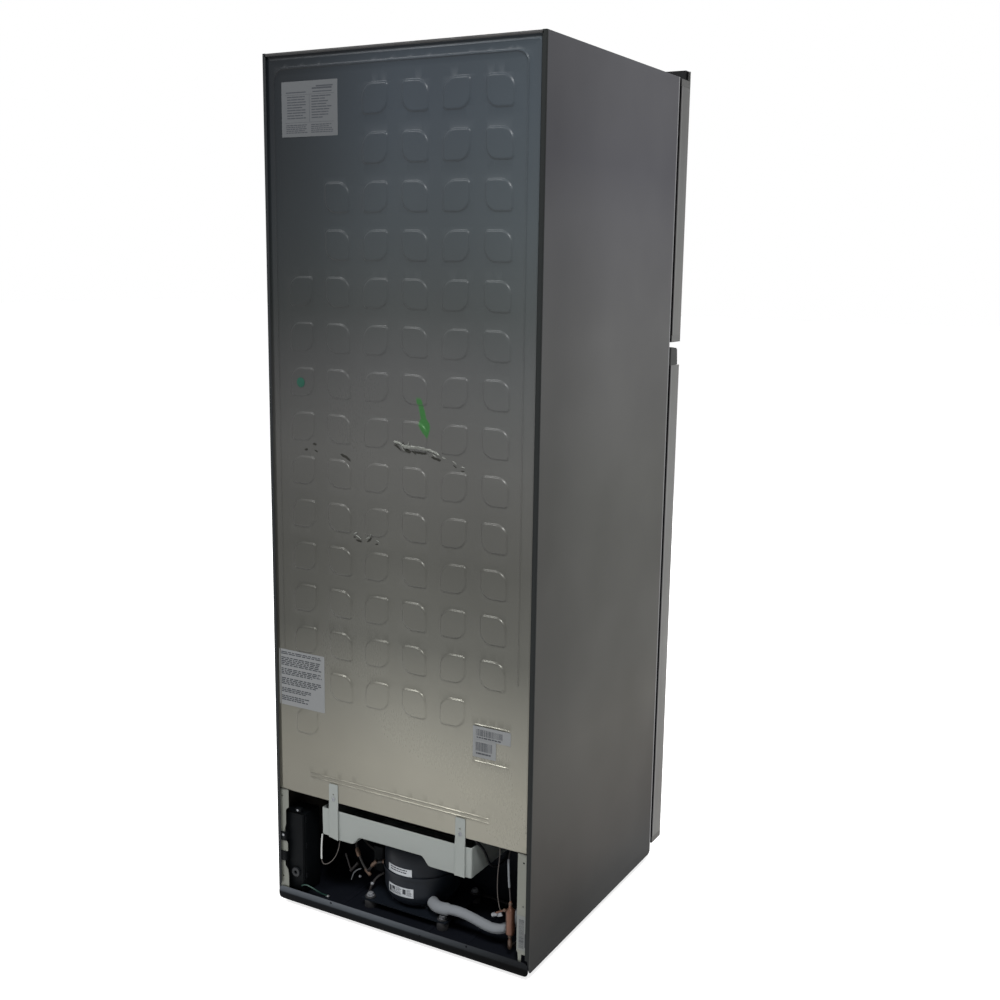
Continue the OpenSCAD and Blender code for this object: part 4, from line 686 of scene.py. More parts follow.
def beadRing(path, half):  # outline at this distance from the middle line of a pressed bead
    def unit(start, end):
        length = hypot(end[0] - start[0], end[1] - start[1])
        return (end[0] - start[0]) / length, (end[1] - start[1]) / length

    left, right = [], []
    for i, (x, z) in enumerate(path):
        dx, dz = unit(path[max(i - 1, 0)], path[min(i + 1, len(path) - 1)])
        left.append((x - dz * half, z + dx * half))
        right.append((x + dz * half, z - dx * half))
    ends = []
    for tip, other in ((path[0], path[1]), (path[-1], path[-2])):
        dx, dz = unit(tip, other)
        ends.append((tip[0] - dx * half, tip[1] - dz * half))
    return [ends[0]] + right + [ends[1]] + left[::-1]


def archPath(x0, x1, top, end, corner):  # up one side, across the top and down the other
    count = int((top - corner - end) / 40)
    path = [(x0, end + 40 * i) for i in range(count + 1)]
    path += [(x0 - corner + corner * cos(radians(a)), top - corner + corner * sin(radians(a)))
             for a in range(0, 91, 15)]
    path += [(x0 - corner - 40 * i, top) for i in range(1, int((x0 - x1 - 2 * corner) / 40) + 1)]
    path += [(x1 + corner - corner * sin(radians(a)), top - corner + corner * cos(radians(a)))
             for a in range(0, 91, 15)]
    return path + [(x1, top - corner - 40 * i) for i in range(1, count + 1)]


def pressedForms():  # every leaf and bead as rings of (x, z) with their heights
    forms = []
    slope = rear["leafSlope"]
    for column, rows in enumerate(leafRows):
        for row in rows:
            x, z = rear["firstX"] - column * rear["pitch"], rear["firstZ"] - row * rear["pitch"]
            rings = [leafRing(x, z, column % 2, inset) for inset in slope]
            high = rear["leafHigh"] + rear["deeper"] * min(1, max(0, (row - 5) / 4))  # the lower rows are deeper
            lift = [high * (0.5 - 0.5 * cos(pi * inset / slope[-1])) for inset in slope]
            forms.append((rings, lift))
    beads = [(archPath(*rear["arch"]), rear["beadSlope"], rear["beadHigh"]),
             (archPath(*rear["edgeArch"]), rear["edgeSlope"], rear["edgeHigh"])]
    beads += [([(a + (b - a) * i / 12, z) for i in range(13)], rear["lowSlope"], rear["lowHigh"])
              for a, b, z in rear["lowBeads"]]
    for path, halves, high in beads:
        rings = [beadRing(path, half) for half in halves]
        forms.append((rings, [high * (0.5 + 0.5 * cos(pi * half / halves[0])) for half in halves]))
    return forms


def leafLift(x, z):  # how far the pressed leaves raise the sheet here
    column, row = round((rear["firstX"] - x) / rear["pitch"]), round((rear["firstZ"] - z) / rear["pitch"])
    if not 0 <= column < len(leafRows) or row not in leafRows[column]:
        return 0
    offX, offZ = rear["firstX"] - column * rear["pitch"] - x, rear["firstZ"] - row * rear["pitch"] - z
    near = rear["leafHalf"] - max(abs(offX), abs(offZ))
    return (rear["leafHigh"] + rear["deeper"]) * max(0, min(1, near / rear["leafSlope"][-1]))


def addRearPanel():
    face, step = rear["face"], rear["step"]
    low, high, left, right = rear["bottom"], rear["rimTop"], -rear["rimX"], rear["rimX"]
    forms = pressedForms()
    flat, edges = [], []

    def addLoop(loop):
        first = len(flat)
        flat.extend(Vector(point) for point in loop)
        edges.extend((first + i, first + (i + 1) % len(loop)) for i in range(len(loop)))
        return list(range(first, len(flat)))

    columns, rows = rear["columns"], rear["rows"]  # the flat field, ready for its gentle waves
    bounds = [(left + (right - left) * i / columns, low) for i in range(columns)]
    bounds += [(right, low + (high - low) * i / rows) for i in range(rows)]
    bounds += [(right - (right - left) * i / columns, high) for i in range(columns)]
    bounds += [(left, high - (high - low) * i / rows) for i in range(rows)]
    outer = addLoop(bounds)
    loops = [addLoop(rings[0]) for rings, lift in forms]
    for i in range(1, columns * 2):
        for j in range(1, rows * 2):
            flat.append(Vector((left + (right - left) * i / columns / 2, low + (high - low) * j / rows / 2)))
    verts, _, tris, origVerts, _, origFaces = delaunay_2d_cdt(flat, edges, loops, 0, 1e-4, True)
    where = {old: new for new, olds in enumerate(origVerts) for old in olds}

    def wave(x, z):
        edge = min(1, (rear["rimX"] - abs(x)) / 60, (rear["rimTop"] - z) / 60, (z - low) / 30)
        return rear["wave"] * max(edge, 0) * (sin(x / 47 + 1.3 * sin(z / 131)) * sin(z / 83 + x / 160)
                                              + 0.5 * sin(x / 23 + z / 61))

    def clearOf(x, z):  # the lowest leaf of the first column flattens out below the label
        return max(0, min(1, (rear["labelLow"] - z) / 6)) if x > 180 and z < rear["labelLow"] + 20 else 1

    points = [(v.x, face + wave(v.x, v.y), v.y) for v in verts]
    faces = [tuple(reversed(tri)) for tri, inside in zip(tris, origFaces) if not inside]

    def addRing(before, ring):  # adds this ring of points and joins it to the one before
        now = list(range(len(points), len(points) + len(ring)))
        points.extend(ring)
        faces.extend((before[i - 1], now[i - 1], now[i], before[i]) for i in range(len(ring)))
        return now

    for (rings, lift), loop in zip(forms, loops):
        before = [where[i] for i in loop]
        for ring, up in zip(rings[1:], lift[1:]):
            before = addRing(before, [(x, face + wave(x, z) + up * clearOf(x, z), z) for x, z in ring])
        if len(before) < 40:  # an inner loop keeps the top of a leaf flat
            middleX, middleZ = (sum(point[axis] for point in rings[-1]) / len(before) for axis in (0, 1))
            before = addRing(before, [(middleX + (x - middleX) * 0.93, face + wave(x, z) + lift[-1] * clearOf(x, z),
                                       middleZ + (z - middleZ) * 0.93) for x, z in rings[-1]])
        faces.append(tuple(reversed(before)))
    before = [where[i] for i in outer]
    sideX, top = rear["sideX"], rear["top"]
    for grow, y, cut in ((step * 0.3, 0.3, 0), (step * 0.62, 2.4, 0), (step, 3.5, 0),  # the raised rim
                         (step * 2, 3.5, 0.4), (step * 2, 3.1, 0), (step * 2, -0.9, 0)):  # the edge and the back
        ring = []
        for x, z in (flat[index] for index in outer):
            outward, upward = (x >= right - 0.01) - (x <= left + 0.01), z >= high - 0.01
            x = max(-sideX, min(sideX, x + grow * outward)) - cut * outward
            z = min(top, z + grow * upward) - cut * upward
            ring.append((x, face + (y if outward or upward else min(y, 0)), z))
        before = addRing(before, ring)
    faces.append(tuple(reversed(before)))
    addPiece("rear_panel", (points, faces), "rearSteel", "cabinet", ["back_panel"], 60)


addRearPanel()
print("rear panel pressed")


labels = {"face": 320.5, "limit": 324.9, "thick": 0.3, "ink": 0.06, "large": (129, 258, 1561, 1660),
          "text": (175, 290, 442, 560), "strip": (-252, -171, 461, 487), "block": (-221, -171, 426, 461),
          "side": (-292, -272, 61, 131), "dot": (221, 1105)}


def paperSheet(shape, x0, x1, z0, z1, y, thick):
    return loft(shape, [ringAt("y", at, (x0, x1, z0, z1), 0, [1.5] * 4) for at in (y, y + thick)])


def inkBars(shape, x0, x1, z0, z1, y, marks):  # marks are (left, right, bottom, top) as shares of the sheet
    for left, right, bottom, top in marks:  # left is the viewer's left, which is the high x
        xa, xb = x1 - left * (x1 - x0), x1 - right * (x1 - x0)
        za, zb = z0 + bottom * (z1 - z0), z0 + top * (z1 - z0)
        loft(shape, [[(xa, at, za), (xb, at, za), (xb, at, zb), (xa, at, zb)] for at in (y, y + labels["ink"])])


def lineMarks(draw, rows, left, right, low, high, fill, ragged, words):
    marks = []
    for row in range(rows):
        top = high - (high - low) * row / rows
        bottom = top - (high - low) / rows * fill
        end = right - (right - left) * ragged * draw.random() ** 2
        x = left
        while x < end - 0.02:
            length = (right - left) / words * (0.5 + draw.random())
            marks.append((x, min(x + length, end), bottom, top))
            x += length + (right - left) * 0.022
    return marks


def barMarks(draw, left, right, low, high, count):
    marks, x, step = [], left, (right - left) / count
    for _ in range(count):
        width = step * (0.25 + 0.5 * draw.random())
        marks.append((x, x + width, low, high))
        x += step
    return marks


def addRearLabels():
    draw = random.Random(7)
    y = labels["face"] + 0.05
    large, text, strip, block, side = (labels[key] for key in ("large", "text", "strip", "block", "side"))
    sheets, ink = ([], []), ([], [])
    for sheet in (large, text, strip, (*block[:3], block[3] + 0.4), side):
        paperSheet(sheets, *sheet, y, labels["thick"])
    addPiece("rear_label_paper", sheets, "paper", "cabinet", ["rear_labels"], 30)
    over = y + labels["thick"]

    def textRows(*rows):  # how many rows, left, right, low, high, fill, ragged, words
        return [mark for row in rows for mark in lineMarks(draw, *row)]

    marks = [(0.55, 0.9, 0.845, 0.875), (0.62, 0.92, 0.885, 0.91), (0.08, 0.44, 0.79, 0.81), (0.56, 0.9, 0.79, 0.81),
             (0.06, 0.94, 0.755, 0.76), (0.06, 0.94, 0.255, 0.26), (0.5, 0.505, 0.27, 0.75)]
    inkBars(ink, *large, over, marks + textRows(
        (9, 0.1, 0.44, 0.3, 0.73, 0.42, 0.5, 3), (9, 0.54, 0.9, 0.3, 0.73, 0.42, 0.5, 3),
        (5, 0.08, 0.47, 0.05, 0.22, 0.5, 0.2, 8), (5, 0.53, 0.92, 0.05, 0.22, 0.5, 0.2, 8)))
    inkBars(ink, *text, over, textRows(
        (2, 0.05, 0.95, 0.9, 0.96, 0.6, 0.1, 9), (5, 0.05, 0.95, 0.7, 0.86, 0.6, 0.1, 12),
        (4, 0.05, 0.95, 0.54, 0.66, 0.6, 0.3, 12), (4, 0.05, 0.95, 0.36, 0.49, 0.6, 0.2, 12),
        (3, 0.05, 0.7, 0.22, 0.31, 0.6, 0.2, 9), (3, 0.05, 0.66, 0.07, 0.17, 0.6, 0.3, 9)))
    for sheet, code, row in ((strip, (0.08, 0.8, 0.3, 0.78, 30), (1, 0.1, 0.75, 0.1, 0.22, 0.8, 0.1, 8)),
                             (block, (0.12, 0.85, 0.36, 0.86, 20), (1, 0.14, 0.8, 0.16, 0.27, 0.8, 0.1, 6))):
        inkBars(ink, *sheet, over, barMarks(draw, *code) + textRows(row))
    bars = [(0.2, 0.75, 0.06 + 0.028 * i, 0.06 + 0.028 * i + 0.008 + 0.011 * draw.random()) for i in range(30)]
    inkBars(ink, *side, over, bars + [(0.82, 0.9, 0.1, 0.5)])
    addPiece("rear_label_print", ink, "ink", "cabinet", (), 30)


tears = {  # width, height and path of each ridge, then width and path of each slit below them or dent, drawn dark as painted shadow
    "ridges": ((7.5, 3.6, (8, 1007), (-7, 1005), (-20, 999), (-33, 1000), (-51, 1000), (-68, 998), (-82, 995),
                (-95, 989)),
               (5.0, 3.4, (-12, 1001), (-24, 1000), (-29, 1006), (-30, 1012)),
               (4.4, 3.0, (-7, 1003), (-14, 997), (-21, 990)), (3.2, 2.2, (-39, 996), (-42, 984)),
               (4.4, 2.6, (-68, 995), (-73, 986)), (3.6, 2.2, (-78, 991), (-88, 985)),
               (3.4, 1.8, (-98, 987), (-109, 984)), (5.0, 2.4, (-121, 982), (-131, 976)),
               (4.4, 2.4, (-139, 972), (-149, 971)), (4.4, 2.4, (101, 819), (91, 825)),
               (4.6, 2.6, (96, 818), (89, 816), (82, 811)), (5.0, 2.6, (71, 814), (64, 817), (57, 825)),
               (3.4, 1.4, (49, 814), (39, 811))),
    "shadowedSlits": ((6, (6, 1001), (-3, 998), (-10, 991)), (7, (-18, 993), (-32, 991)),
              (7, (-34, 992), (-52, 992), (-66, 990)), (6, (-76, 985), (-92, 981), (-97, 981)),
              (4, (-123, 974), (-131, 970)), (4, (-140, 965), (-148, 965)), (3.4, (101, 814), (95, 814)),
              (5, (95, 809), (81, 807)), (4.6, (69, 808), (58, 817)), (4, (50, 806), (43, 807)),
              (6, (196, 987), (187, 987)), (6, (216, 974), (208, 976)), (5, (192, 975), (185, 973)),
              (7, (130, 972), (118, 969), (106, 962)))}


def addTear(shape, draw, path, width, height):  # a crumpled ridge of metal along a path, or the dark slit below it, drawn as a strip of painted shadow
    route = spread(rounded([(x, 0, z) for x, z in path], 4), 1.6)
    n, rings = len(route), []
    for i, place in enumerate(route):
        edge = min(1, i / 3, (n - 1 - i) / 3)
        lift = height * (0.45 + 0.55 * draw.random()) * edge
        half = width / 2 * (0.6 + 0.5 * draw.random()) * (0.25 + 0.75 * edge)
        lean = draw.uniform(-0.2, 0.2) * width
        ring = []
        for across, up in ((-1.0, -0.25), (-0.6, 0.35), (-0.35, 1.0), (-0.1, 0.95), (0.3, 0.5), (1.0, -0.25)):
            y = labels["face"] + 0.35 + leafLift(place.x, place.z) + up * lift * 0.62
            ring.append((place.x + across * half * 0.3, min(y, labels["limit"]),
                         place.z + across * half + (lean * 0.4 if up > 0.9 else 0)))
        rings.append(ring)
    loft(shape, rings)


def addRearMarks():  # a round sticker and the torn and scraped metal below the marker
    x, z = labels["dot"]
    dot = turned(([], []), [(9.5, 0), (9.5, 0.12), (9.2, 0.22), (0.01, 0.24)],
                 (x, labels["face"] + rear["leafHigh"] + 0.75, z), (0, 1, 0), 40)
    addPiece("rear_dot_sticker", dot, "greenSticker", "cabinet", (), 40)
    draw = random.Random(21)
    torn, shade = ([], []), ([], [])
    for width, height, *path in tears["ridges"]:
        addTear(torn, draw, path, width, height)
    for width, *path in tears["shadowedSlits"]:
        addTear(shade, draw, path, width, 0.35)
    addPiece("rear_torn_metal", torn, "tornSteel", "cabinet", (), 25)
    addPiece("rear_tear_shades", shade, "tearShade", "cabinet", (), 25)


addRearLabels()
addRearMarks()
print("labels and marks on the rear panel")


routes = {
    "discharge": [[76, 250, 118], [94, 263, 116], [108, 259, 100], [119, 254, 84], [134, 251, 97], [149, 248, 118],
                  [162, 237, 134], [182, 201, 144], [202, 160, 160], [202, 162, 210], [202, 190, 244],
                  [190, 220, 251], [176, 230, 246], [175, 230, 231]],
    "return": [[170, 206, 231], [172, 204, 246], [188, 196, 251], [212, 180, 240], [222, 160, 190], [222, 150, 110],
               [190, 134, 60], [60, 131, 33], [-120, 131, 33], [-215, 160, 40], [-246, 230, 40], [-246, 300, 44],
               [-246, 300, 64]],
    "suction": [[-50.5, 267.7, 70], [-62.4, 278.4, 71], [-76, 283.5, 72], [-92, 285, 74.5], [-112, 285, 77.5],
                [-132, 285, 77], [-152, 285.5, 74], [-172, 286, 69.5], [-194, 287, 66], [-216, 286, 67],
                [-234, 270, 74], [-240, 230, 96], [-240, 190, 150], [-240, 165, 212], [-240, 160, 234],
                [-240, 160, 248], [-240, 160, 256]],
    "capillary": [[-246, 300, 136], [-245, 301, 160], [-241, 301, 190], [-238, 297, 222], [-236, 286, 238],
                  [-236, 282, 246], [-236, 282, 252], [-236, 282, 256]],
    "capillarySleeve": [[-243.4, 301, 170], [-242.6, 301, 180], [-240, 299.5, 206], [-238, 296, 224]],
    "process": [[-246, 300, 122], [-232, 298, 118], [-218, 296, 110], [-206, 293.5, 100]],
    "pan": [[175, 230, 231], [155, 226, 219], [128, 224, 204], [96, 223, 201], [-60, 223, 201], [-82, 216, 201],
            [-82, 206, 201], [-60, 199, 201], [90, 199, 201], [118, 202, 204], [145, 204, 219], [170, 206, 231]],
    "drain": [[44, 186, 256], [44, 186, 250], [44, 186, 246], [45, 187, 236], [46, 186, 226]],
    "whiteLead": [[192, 312, 174.3], [193, 312, 168], [194.6, 312, 150], [195.3, 312, 134], [195, 312, 119]],
    "brownLead": [[195, 312, 121], [193.5, 312, 111], [188, 312, 108], [177, 312, 113], [165, 312, 124],
                  [156, 312, 139], [150, 312, 155], [147, 312, 174.3]],
    "blackLead": [[-174.5, 313, 256], [-174.5, 309, 248], [-174.5, 297, 237], [-174.5, 285, 225], [-174.5, 274, 210],
                  [-174.5, 267, 198], [-175, 263, 187], [-177, 254, 176], [-182, 240, 170], [-186, 220, 174],
                  [-190, 190, 196], [-190, 160, 232], [-190, 150, 248], [-190, 150, 256]],
    "earth": [[248, 312.2, 44], [236, 314, 51], [220, 313, 47], [207, 307, 38], [201, 300, 31], [194, 294, 27.6]]}
pipework = {"pipe": 3.2, "capillary": 1.4, "sleeve": 12, "thinSleeve": 2.1, "stub": 2.2, "hose": 5,
            "leads": {"whiteLead": ("whiteWire", 1.7), "brownLead": ("brownWire", 0.9),
                      "blackLead": ("blackWire", 2.6), "earth": ("greenWire", 1.5)},
            "joints": (((76, 250, 118), (20, 12, -4)), ((98, 262, 112), (14, 2, -16)),
                       ((119, 254, 84), (15, -3, 10)), ((149, 248, 118), (13, -8, 16)),
                       ((-246, 300, 52), (0, 0, 1))),  # place and direction of each
            "joint": [(3.3, -9), (4.4, -7.5), (4.6, 0), (4.4, 6), (3.8, 8), (3.25, 9.5)],
            "drier": [(3.2, -12), (3.3, -11), (3.3, -5), (5.2, -2.5), (8.4, 0), (9, 2.5), (9, 20), (8.7, 21.5),
                      (8.7, 22.5), (9, 24), (9, 47), (8.4, 49.5), (4.6, 53), (3.4, 56), (3.0, 62), (2.4, 66),
                      (2.2, 68)], "drierFoot": (-246, 300, 74)}


def addPipes():
    pipes, joints = ([], []), ([], [])
    for name, radius in (("discharge", "pipe"), ("return", "pipe"), ("capillary", "capillary")):
        sweep(pipes, routes[name], 3.5, pipework[radius])
    addPiece("bay_pipes", pipes, "darkPipe", "cabinet", ["refrigerant_pipes"])
    loop = sweep(([], []), routes["pan"], 4, pipework["pipe"], 12)
    addPiece("pan_loop", loop, "darkPipe", "cabinet", ["pan_pipe"])
    for place, ahead in pipework["joints"]:
        turned(joints, pipework["joint"], place, ahead, 16)
    addPiece("brazed_joints", joints, "brazed", "cabinet")


def addSleeves():
    draw = random.Random(3)
    waves = [(draw.uniform(-1, 1), draw.uniform(0.02, 0.09), draw.uniform(0, 6)) for _ in range(7)]

    def lumpy(angle, travelled):
        swell = 1 + 0.022 * sum(a * sin(f * travelled + p + 2 * angle) for a, f, p in waves)
        cuff = 1.0 if travelled < 50 else 0.9 if travelled < 53 else 0.82
        slit = 0.86 if travelled > 66 and abs((angle - 4.4 + pi) % (2 * pi) - pi) < 0.16 else 1
        return min(swell * cuff * slit, 1.0)

    foam = sweep(([], []), routes["suction"], 5, pipework["sleeve"], 40, 4, lumpy)
    sweep(foam, routes["capillarySleeve"], 4, pipework["thinSleeve"], steps=4)
    addPiece("foam_sleeves", foam, "sleeveFoam", "cabinet", ["pipe_sleeves"])


def addDrier():
    shape = turned(([], []), pipework["drier"], pipework["drierFoot"])
    sweep(shape, routes["process"], 3, pipework["stub"])
    addPiece("copper_drier", shape, "copperTube", "cabinet", ["filter_drier"])
    flux = turned(([], []), [(3.35, -3), (4.4, -1), (4.7, 1), (4.3, 3), (3.35, 5)], (-246, 300, 68), sides=20)
    turned(flux, [(2.6, -3), (4.0, -1), (4.2, 1), (2.6, 3)], (-246, 300, 136), sides=20)
    turned(flux, [(2.3, -3), (3.3, -1), (3.5, 1), (2.3, 3)], (-232, 298, 118), (-14, 2, 6), 20)
    addPiece("drier_brazing", flux, "brazed", "cabinet")


def addLeads():
    for name, (finish, radius) in pipework["leads"].items():
        lead = sweep(([], []), routes[name], 3, radius)
        addPiece("lead_" + name, lead, finish, "cabinet", ["wire_harness"])
    lug = slab(([], []), (190.5, 290.5, 26.0), (197.5, 297.5, 27.2), 0.3)
    turned(lug, [(3.4, 0), (3.4, 1.2), (2.9, 1.8), (0.01, 2.2)], (194, 294, 27.1), sides=20)
    addPiece("earth_lug", lug, "zincSteel", "cabinet")


def addHose():
    def ribbed(angle, travelled):
        return 0.93 + 0.07 * sin(travelled * 1.9)

    hose = sweep(([], []), routes["drain"], 0.6, pipework["hose"], 20, 4, ribbed)
    addPiece("drain_tube", hose, "greyHose", "cabinet", ["drain_hose"])


addPipes()
addSleeves()
addDrier()
addLeads()
addHose()
print("pipes, sleeves and leads laid")


sides = {"outer": 300, "sheet": 1, "rear": 325, "front": -262, "returnTo": 292, "flangeTo": 274, "bottom": 16,
         "top": 1713, "fold": 3, "frontFold": 1.5, "corner": 12, "returnLow": 44, "flangeLow": 28, "levels": 34,
         "wave": 0.22}


def sidePlan(depth):  # plan of the folded sheet at this depth below its skin: (x, y, lowest z)
    outer, rear, front = sides["outer"] - depth, sides["rear"] - depth, sides["front"] + depth
    fold, frontFold, corner = sides["fold"] - depth, sides["frontFold"] - depth, sides["corner"]

    def low(y):
        near = min(rear - y, y - front)
        return sides["bottom"] + (corner - sqrt(corner ** 2 - (corner - near) ** 2) if near < corner else 0)

    plan = [(sides["returnTo"], rear, sides["returnLow"]), (outer - fold - 0.4, rear, sides["returnLow"])]
    plan += [(outer - fold + fold * sin(radians(a)), rear - fold + fold * cos(radians(a)),
              sides["returnLow"] + (low(rear - fold) - sides["returnLow"]) * a / 90) for a in range(0, 91, 15)]
    gaps = [0.4, 1, 2, 3.2, 5, 7, 9.5] + [12 + 26 * i for i in range(22)]
    plan += [(outer, rear - fold - gap, low(rear - fold - gap)) for gap in gaps if rear - fold - gap > front + 14]
    plan += [(outer, front + gap, low(front + gap)) for gap in (14, 12, 9.5, 7, 5, 3.6, 2.6)]
    plan += [(outer - frontFold + frontFold * cos(radians(a)),
              front + frontFold - frontFold * sin(radians(a)), sides["flangeLow"]) for a in range(0, 91, 30)]
    return plan + [(outer - 4, front, sides["flangeLow"]), (sides["flangeTo"], front, sides["flangeLow"])]


def addSidePanel(name, sign, replaced):
    levels, skins = sides["levels"], []
    for depth in (0, sides["sheet"]):
        skins.append([])
        for level in range(levels + 1):
            for x, y, low in sidePlan(depth):
                edge = max(0, min(1, (sides["rear"] - y - 12) / 60, (y - sides["front"] - 12) / 60, level / 4,
                                  (levels - level) / 4))
                z = low + (sides["top"] - low) * level / levels
                dent = sides["wave"] * edge * (1 + sin(y / 61 + z / 240 + sign) * sin(z / 170 + y / 300))
                skins[-1].append((sign * (x - dent), y, z))
    shape = twoSkins(([], []), *skins, len(sidePlan(0)))
    addPiece(name, shape, "sideSteel", "cabinet", [replaced], 40)


lid = {"half": 298.9, "front": -261, "rear": 325, "sheet": 0.9, "columns": 40, "rows": 38, "sunk": 0.55}


def addTopSheet():  # the lid of the cabinet: a shallow pressed field inside its flat margin, folded down at the rear
    half, front, rearY, thick, skins = lid["half"], lid["front"], lid["rear"], lid["sheet"], []
    across = [half * (2 * i / lid["columns"] - 1) for i in range(lid["columns"] + 1)]
    strip = [(front + (rearY - 2.5 - front) * j / lid["rows"], 0) for j in range(lid["rows"] + 1)]
    strip += [(rearY - 1.25, 0.35), (rearY - 0.35, 1.25), (rearY, 2.5), (rearY, 6)]
    for depth in (0.0, thick):
        skins.append([])
        for y, drop in strip:
            for x in across:
                inside = max(0, min(1, (half - 34 - abs(x)) / 14, (y - front - 84) / 14, (rearY - 40 - y) / 14))
                wave = 0.12 * sin(x / 58 + 1) * sin(y / 73)
                sunk = lid["sunk"] * (0.5 - 0.5 * cos(pi * inside)) * (1 - wave) if not drop else 0
                narrow = min(1, 293.9 / abs(x)) if drop > 1 and x else 1
                z = sides["top"] - drop - sunk * (1 - depth / thick) - (depth if drop < 6 else 0)
                skins[-1].append((x * narrow, y - (depth if drop > 1 else 0), z))
    shape = twoSkins(([], []), *skins, len(across))
    addPiece("top_sheet", shape, "blackSteel", "cabinet", ["top_panel"], 40)


addSidePanel("side_sheet_right", 1, "side_panel_right")
addSidePanel("side_sheet_left", -1, "side_panel_left")
addTopSheet()
print("side and top sheets folded")


tray = {"x0": -171, "x1": 186, "y0": 170.5, "y1": 320.5, "low": 174.5, "high": 238.5, "rise": 18,
        "slopes": (-75, -55, 92, 112), "corner": 3.2, "endStep": (158, 166, 4), "floor": 2.2,
        # the wall's section as (inset, height, share of the way from floor to brim)
        "section": ((6, 0, 0), (3, 0.4, 0), (1.1, 1.5, 0), (0.3, 3.4, 0), (0.1, 0, 0.5), (0, -2.2, 1), (0, -1, 1),
                    (0.5, -0.2, 1), (1.2, 0, 1), (1.8, -0.5, 1), (2.2, -1.6, 1), (2.4, 0, 0.5), (2.8, 6, 0),
                    (4.2, 3.2, 0), (7, 2.2, 0)),
        "straps": (155.5, -145.5), "strapWidth": 23, "strapTop": 295, "hole": 273, "screw": 263}


def trayFloor(x):  # underside of the tray: raised over the compressor, and a little at one end
    a, b, c, d = tray["slopes"]
    end0, end1, lift = tray["endStep"]
    raised = tray["rise"] * (smoothStep(x, a, b) - smoothStep(x, c, d))
    return tray["low"] + raised + lift * smoothStep(x, end0, end1)


def addTray():
    x, y = (tray["x0"] + tray["x1"]) / 2, (tray["y0"] + tray["y1"]) / 2
    halfX, halfY, corner = (tray["x1"] - tray["x0"]) / 2, (tray["y1"] - tray["y0"]) / 2, tray["corner"]
    base = denser(roundedBox(x, y, halfX, halfY, [corner] * 4, 7), 5)
    shape = points, faces = [], []
    rings = []
    for inset, high, share in tray["section"]:
        ring = []
        for px, py in base:
            cx = x + (px - x) * (halfX - inset) / halfX
            cy = y + (py - y) * (halfY - inset) / halfY
            low = trayFloor(cx)
            ring.append(len(points))
            points.append((cx, cy, low + (tray["high"] - low) * share + high))
        rings.append(ring)
    for lower, upper in zip(rings, rings[1:]):
        faces.extend((lower[i - 1], lower[i], upper[i], upper[i - 1]) for i in range(len(base)))
    for ring, lift in ((rings[0], 0), (rings[-1], tray["floor"])):  # the floor, outside and inside
        loop = [Vector(points[i][:2]) for i in ring]
        grid = [Vector((tray["x0"] + 12 + i * 5, tray["y0"] + 12 + j * 18)) for i in range(67) for j in range(8)]
        edges, whole = [(i - 1 if i else len(loop) - 1, i) for i in range(len(loop))], [list(range(len(loop)))]
        verts, _, tris, origVerts, _, _ = delaunay_2d_cdt(loop + grid, edges, whole, 1, 1e-4, True)
        at = []
        for vertex, olds in zip(verts, origVerts):
            if olds and olds[0] < len(loop):
                at.append(ring[olds[0]])
            else:
                at.append(len(points))
                points.append((vertex.x, vertex.y, trayFloor(vertex.x) + lift))
        faces.extend(tuple(at[i] for i in tri) for tri in tris)
    for bracket in (x - 90, x + 90):
        slab(shape, (bracket - 10, 126.2, 224.5), (bracket + 10, 171.5, 227.5), 0.6)
    addPiece("water_tray", shape, "panPlastic", "cabinet", ["drip_pan"], 35)


def addStraps():  # the two straps that hold the tray
    shape = ([], [])
    half, top = tray["strapWidth"] / 2, tray["strapTop"]
    for middle in tray["straps"]:

        def front(px, pz):  # ribs along both edges that fade out above the tray
            rib = smoothStep(abs(px - middle), half - 2.6, half - 1.2) * (1 - smoothStep(pz, 240, 250))
            return 322 + 1.5 * rib - 0.5 * smoothStep(pz, top - 4, top)

        left, right = middle - half, middle + half
        outline = [(left, trayFloor(left) + 0.5), (right, trayFloor(right) + 0.5), (right, 238), (right - 0.8, top),
                   (left + 0.8, top), (left, 238)]
        plate(shape, [denser(cutCorners(outline, 2.5), 4), circle(middle, tray["hole"], 1.9, 16)], 320.6, front, 2.3)
    addPiece("tray_straps", shape, "panPlastic", "cabinet", (), 35)


screws = {"feetX": (-80, 96), "feetY": (152, 278), "foot": 26.2, "long": 26.2, "pitch": 0.55, "turns": 46,
          "washer": [(4.2, 0), (8, 0), (8, 1.3), (7.4, 1.6), (4.2, 1.6)], "washerLow": 49.1,
          "nut": [(3.9, 0), (6.2, 0), (6.6, 0.6), (6.6, 3.9), (6.0, 4.8), (3.9, 5)], "nutLow": 50.6,
          "strap": [(4, 0), (4, 0.5), (3.6, 1.1), (2.7, 1.5), (2.3, 1.5), (1.9, 0.7), (0.01, 0.6)],
          "dome": ((1, 0), (1, 0.28), (0.8, 0.72), (0.4, 0.94)),  # shares of the head's radius and height
          "heads": ((257, 310.8, 210.5, 2.6, 1.8), (285, 324.3, 154.5, 3.0, 0.65))}


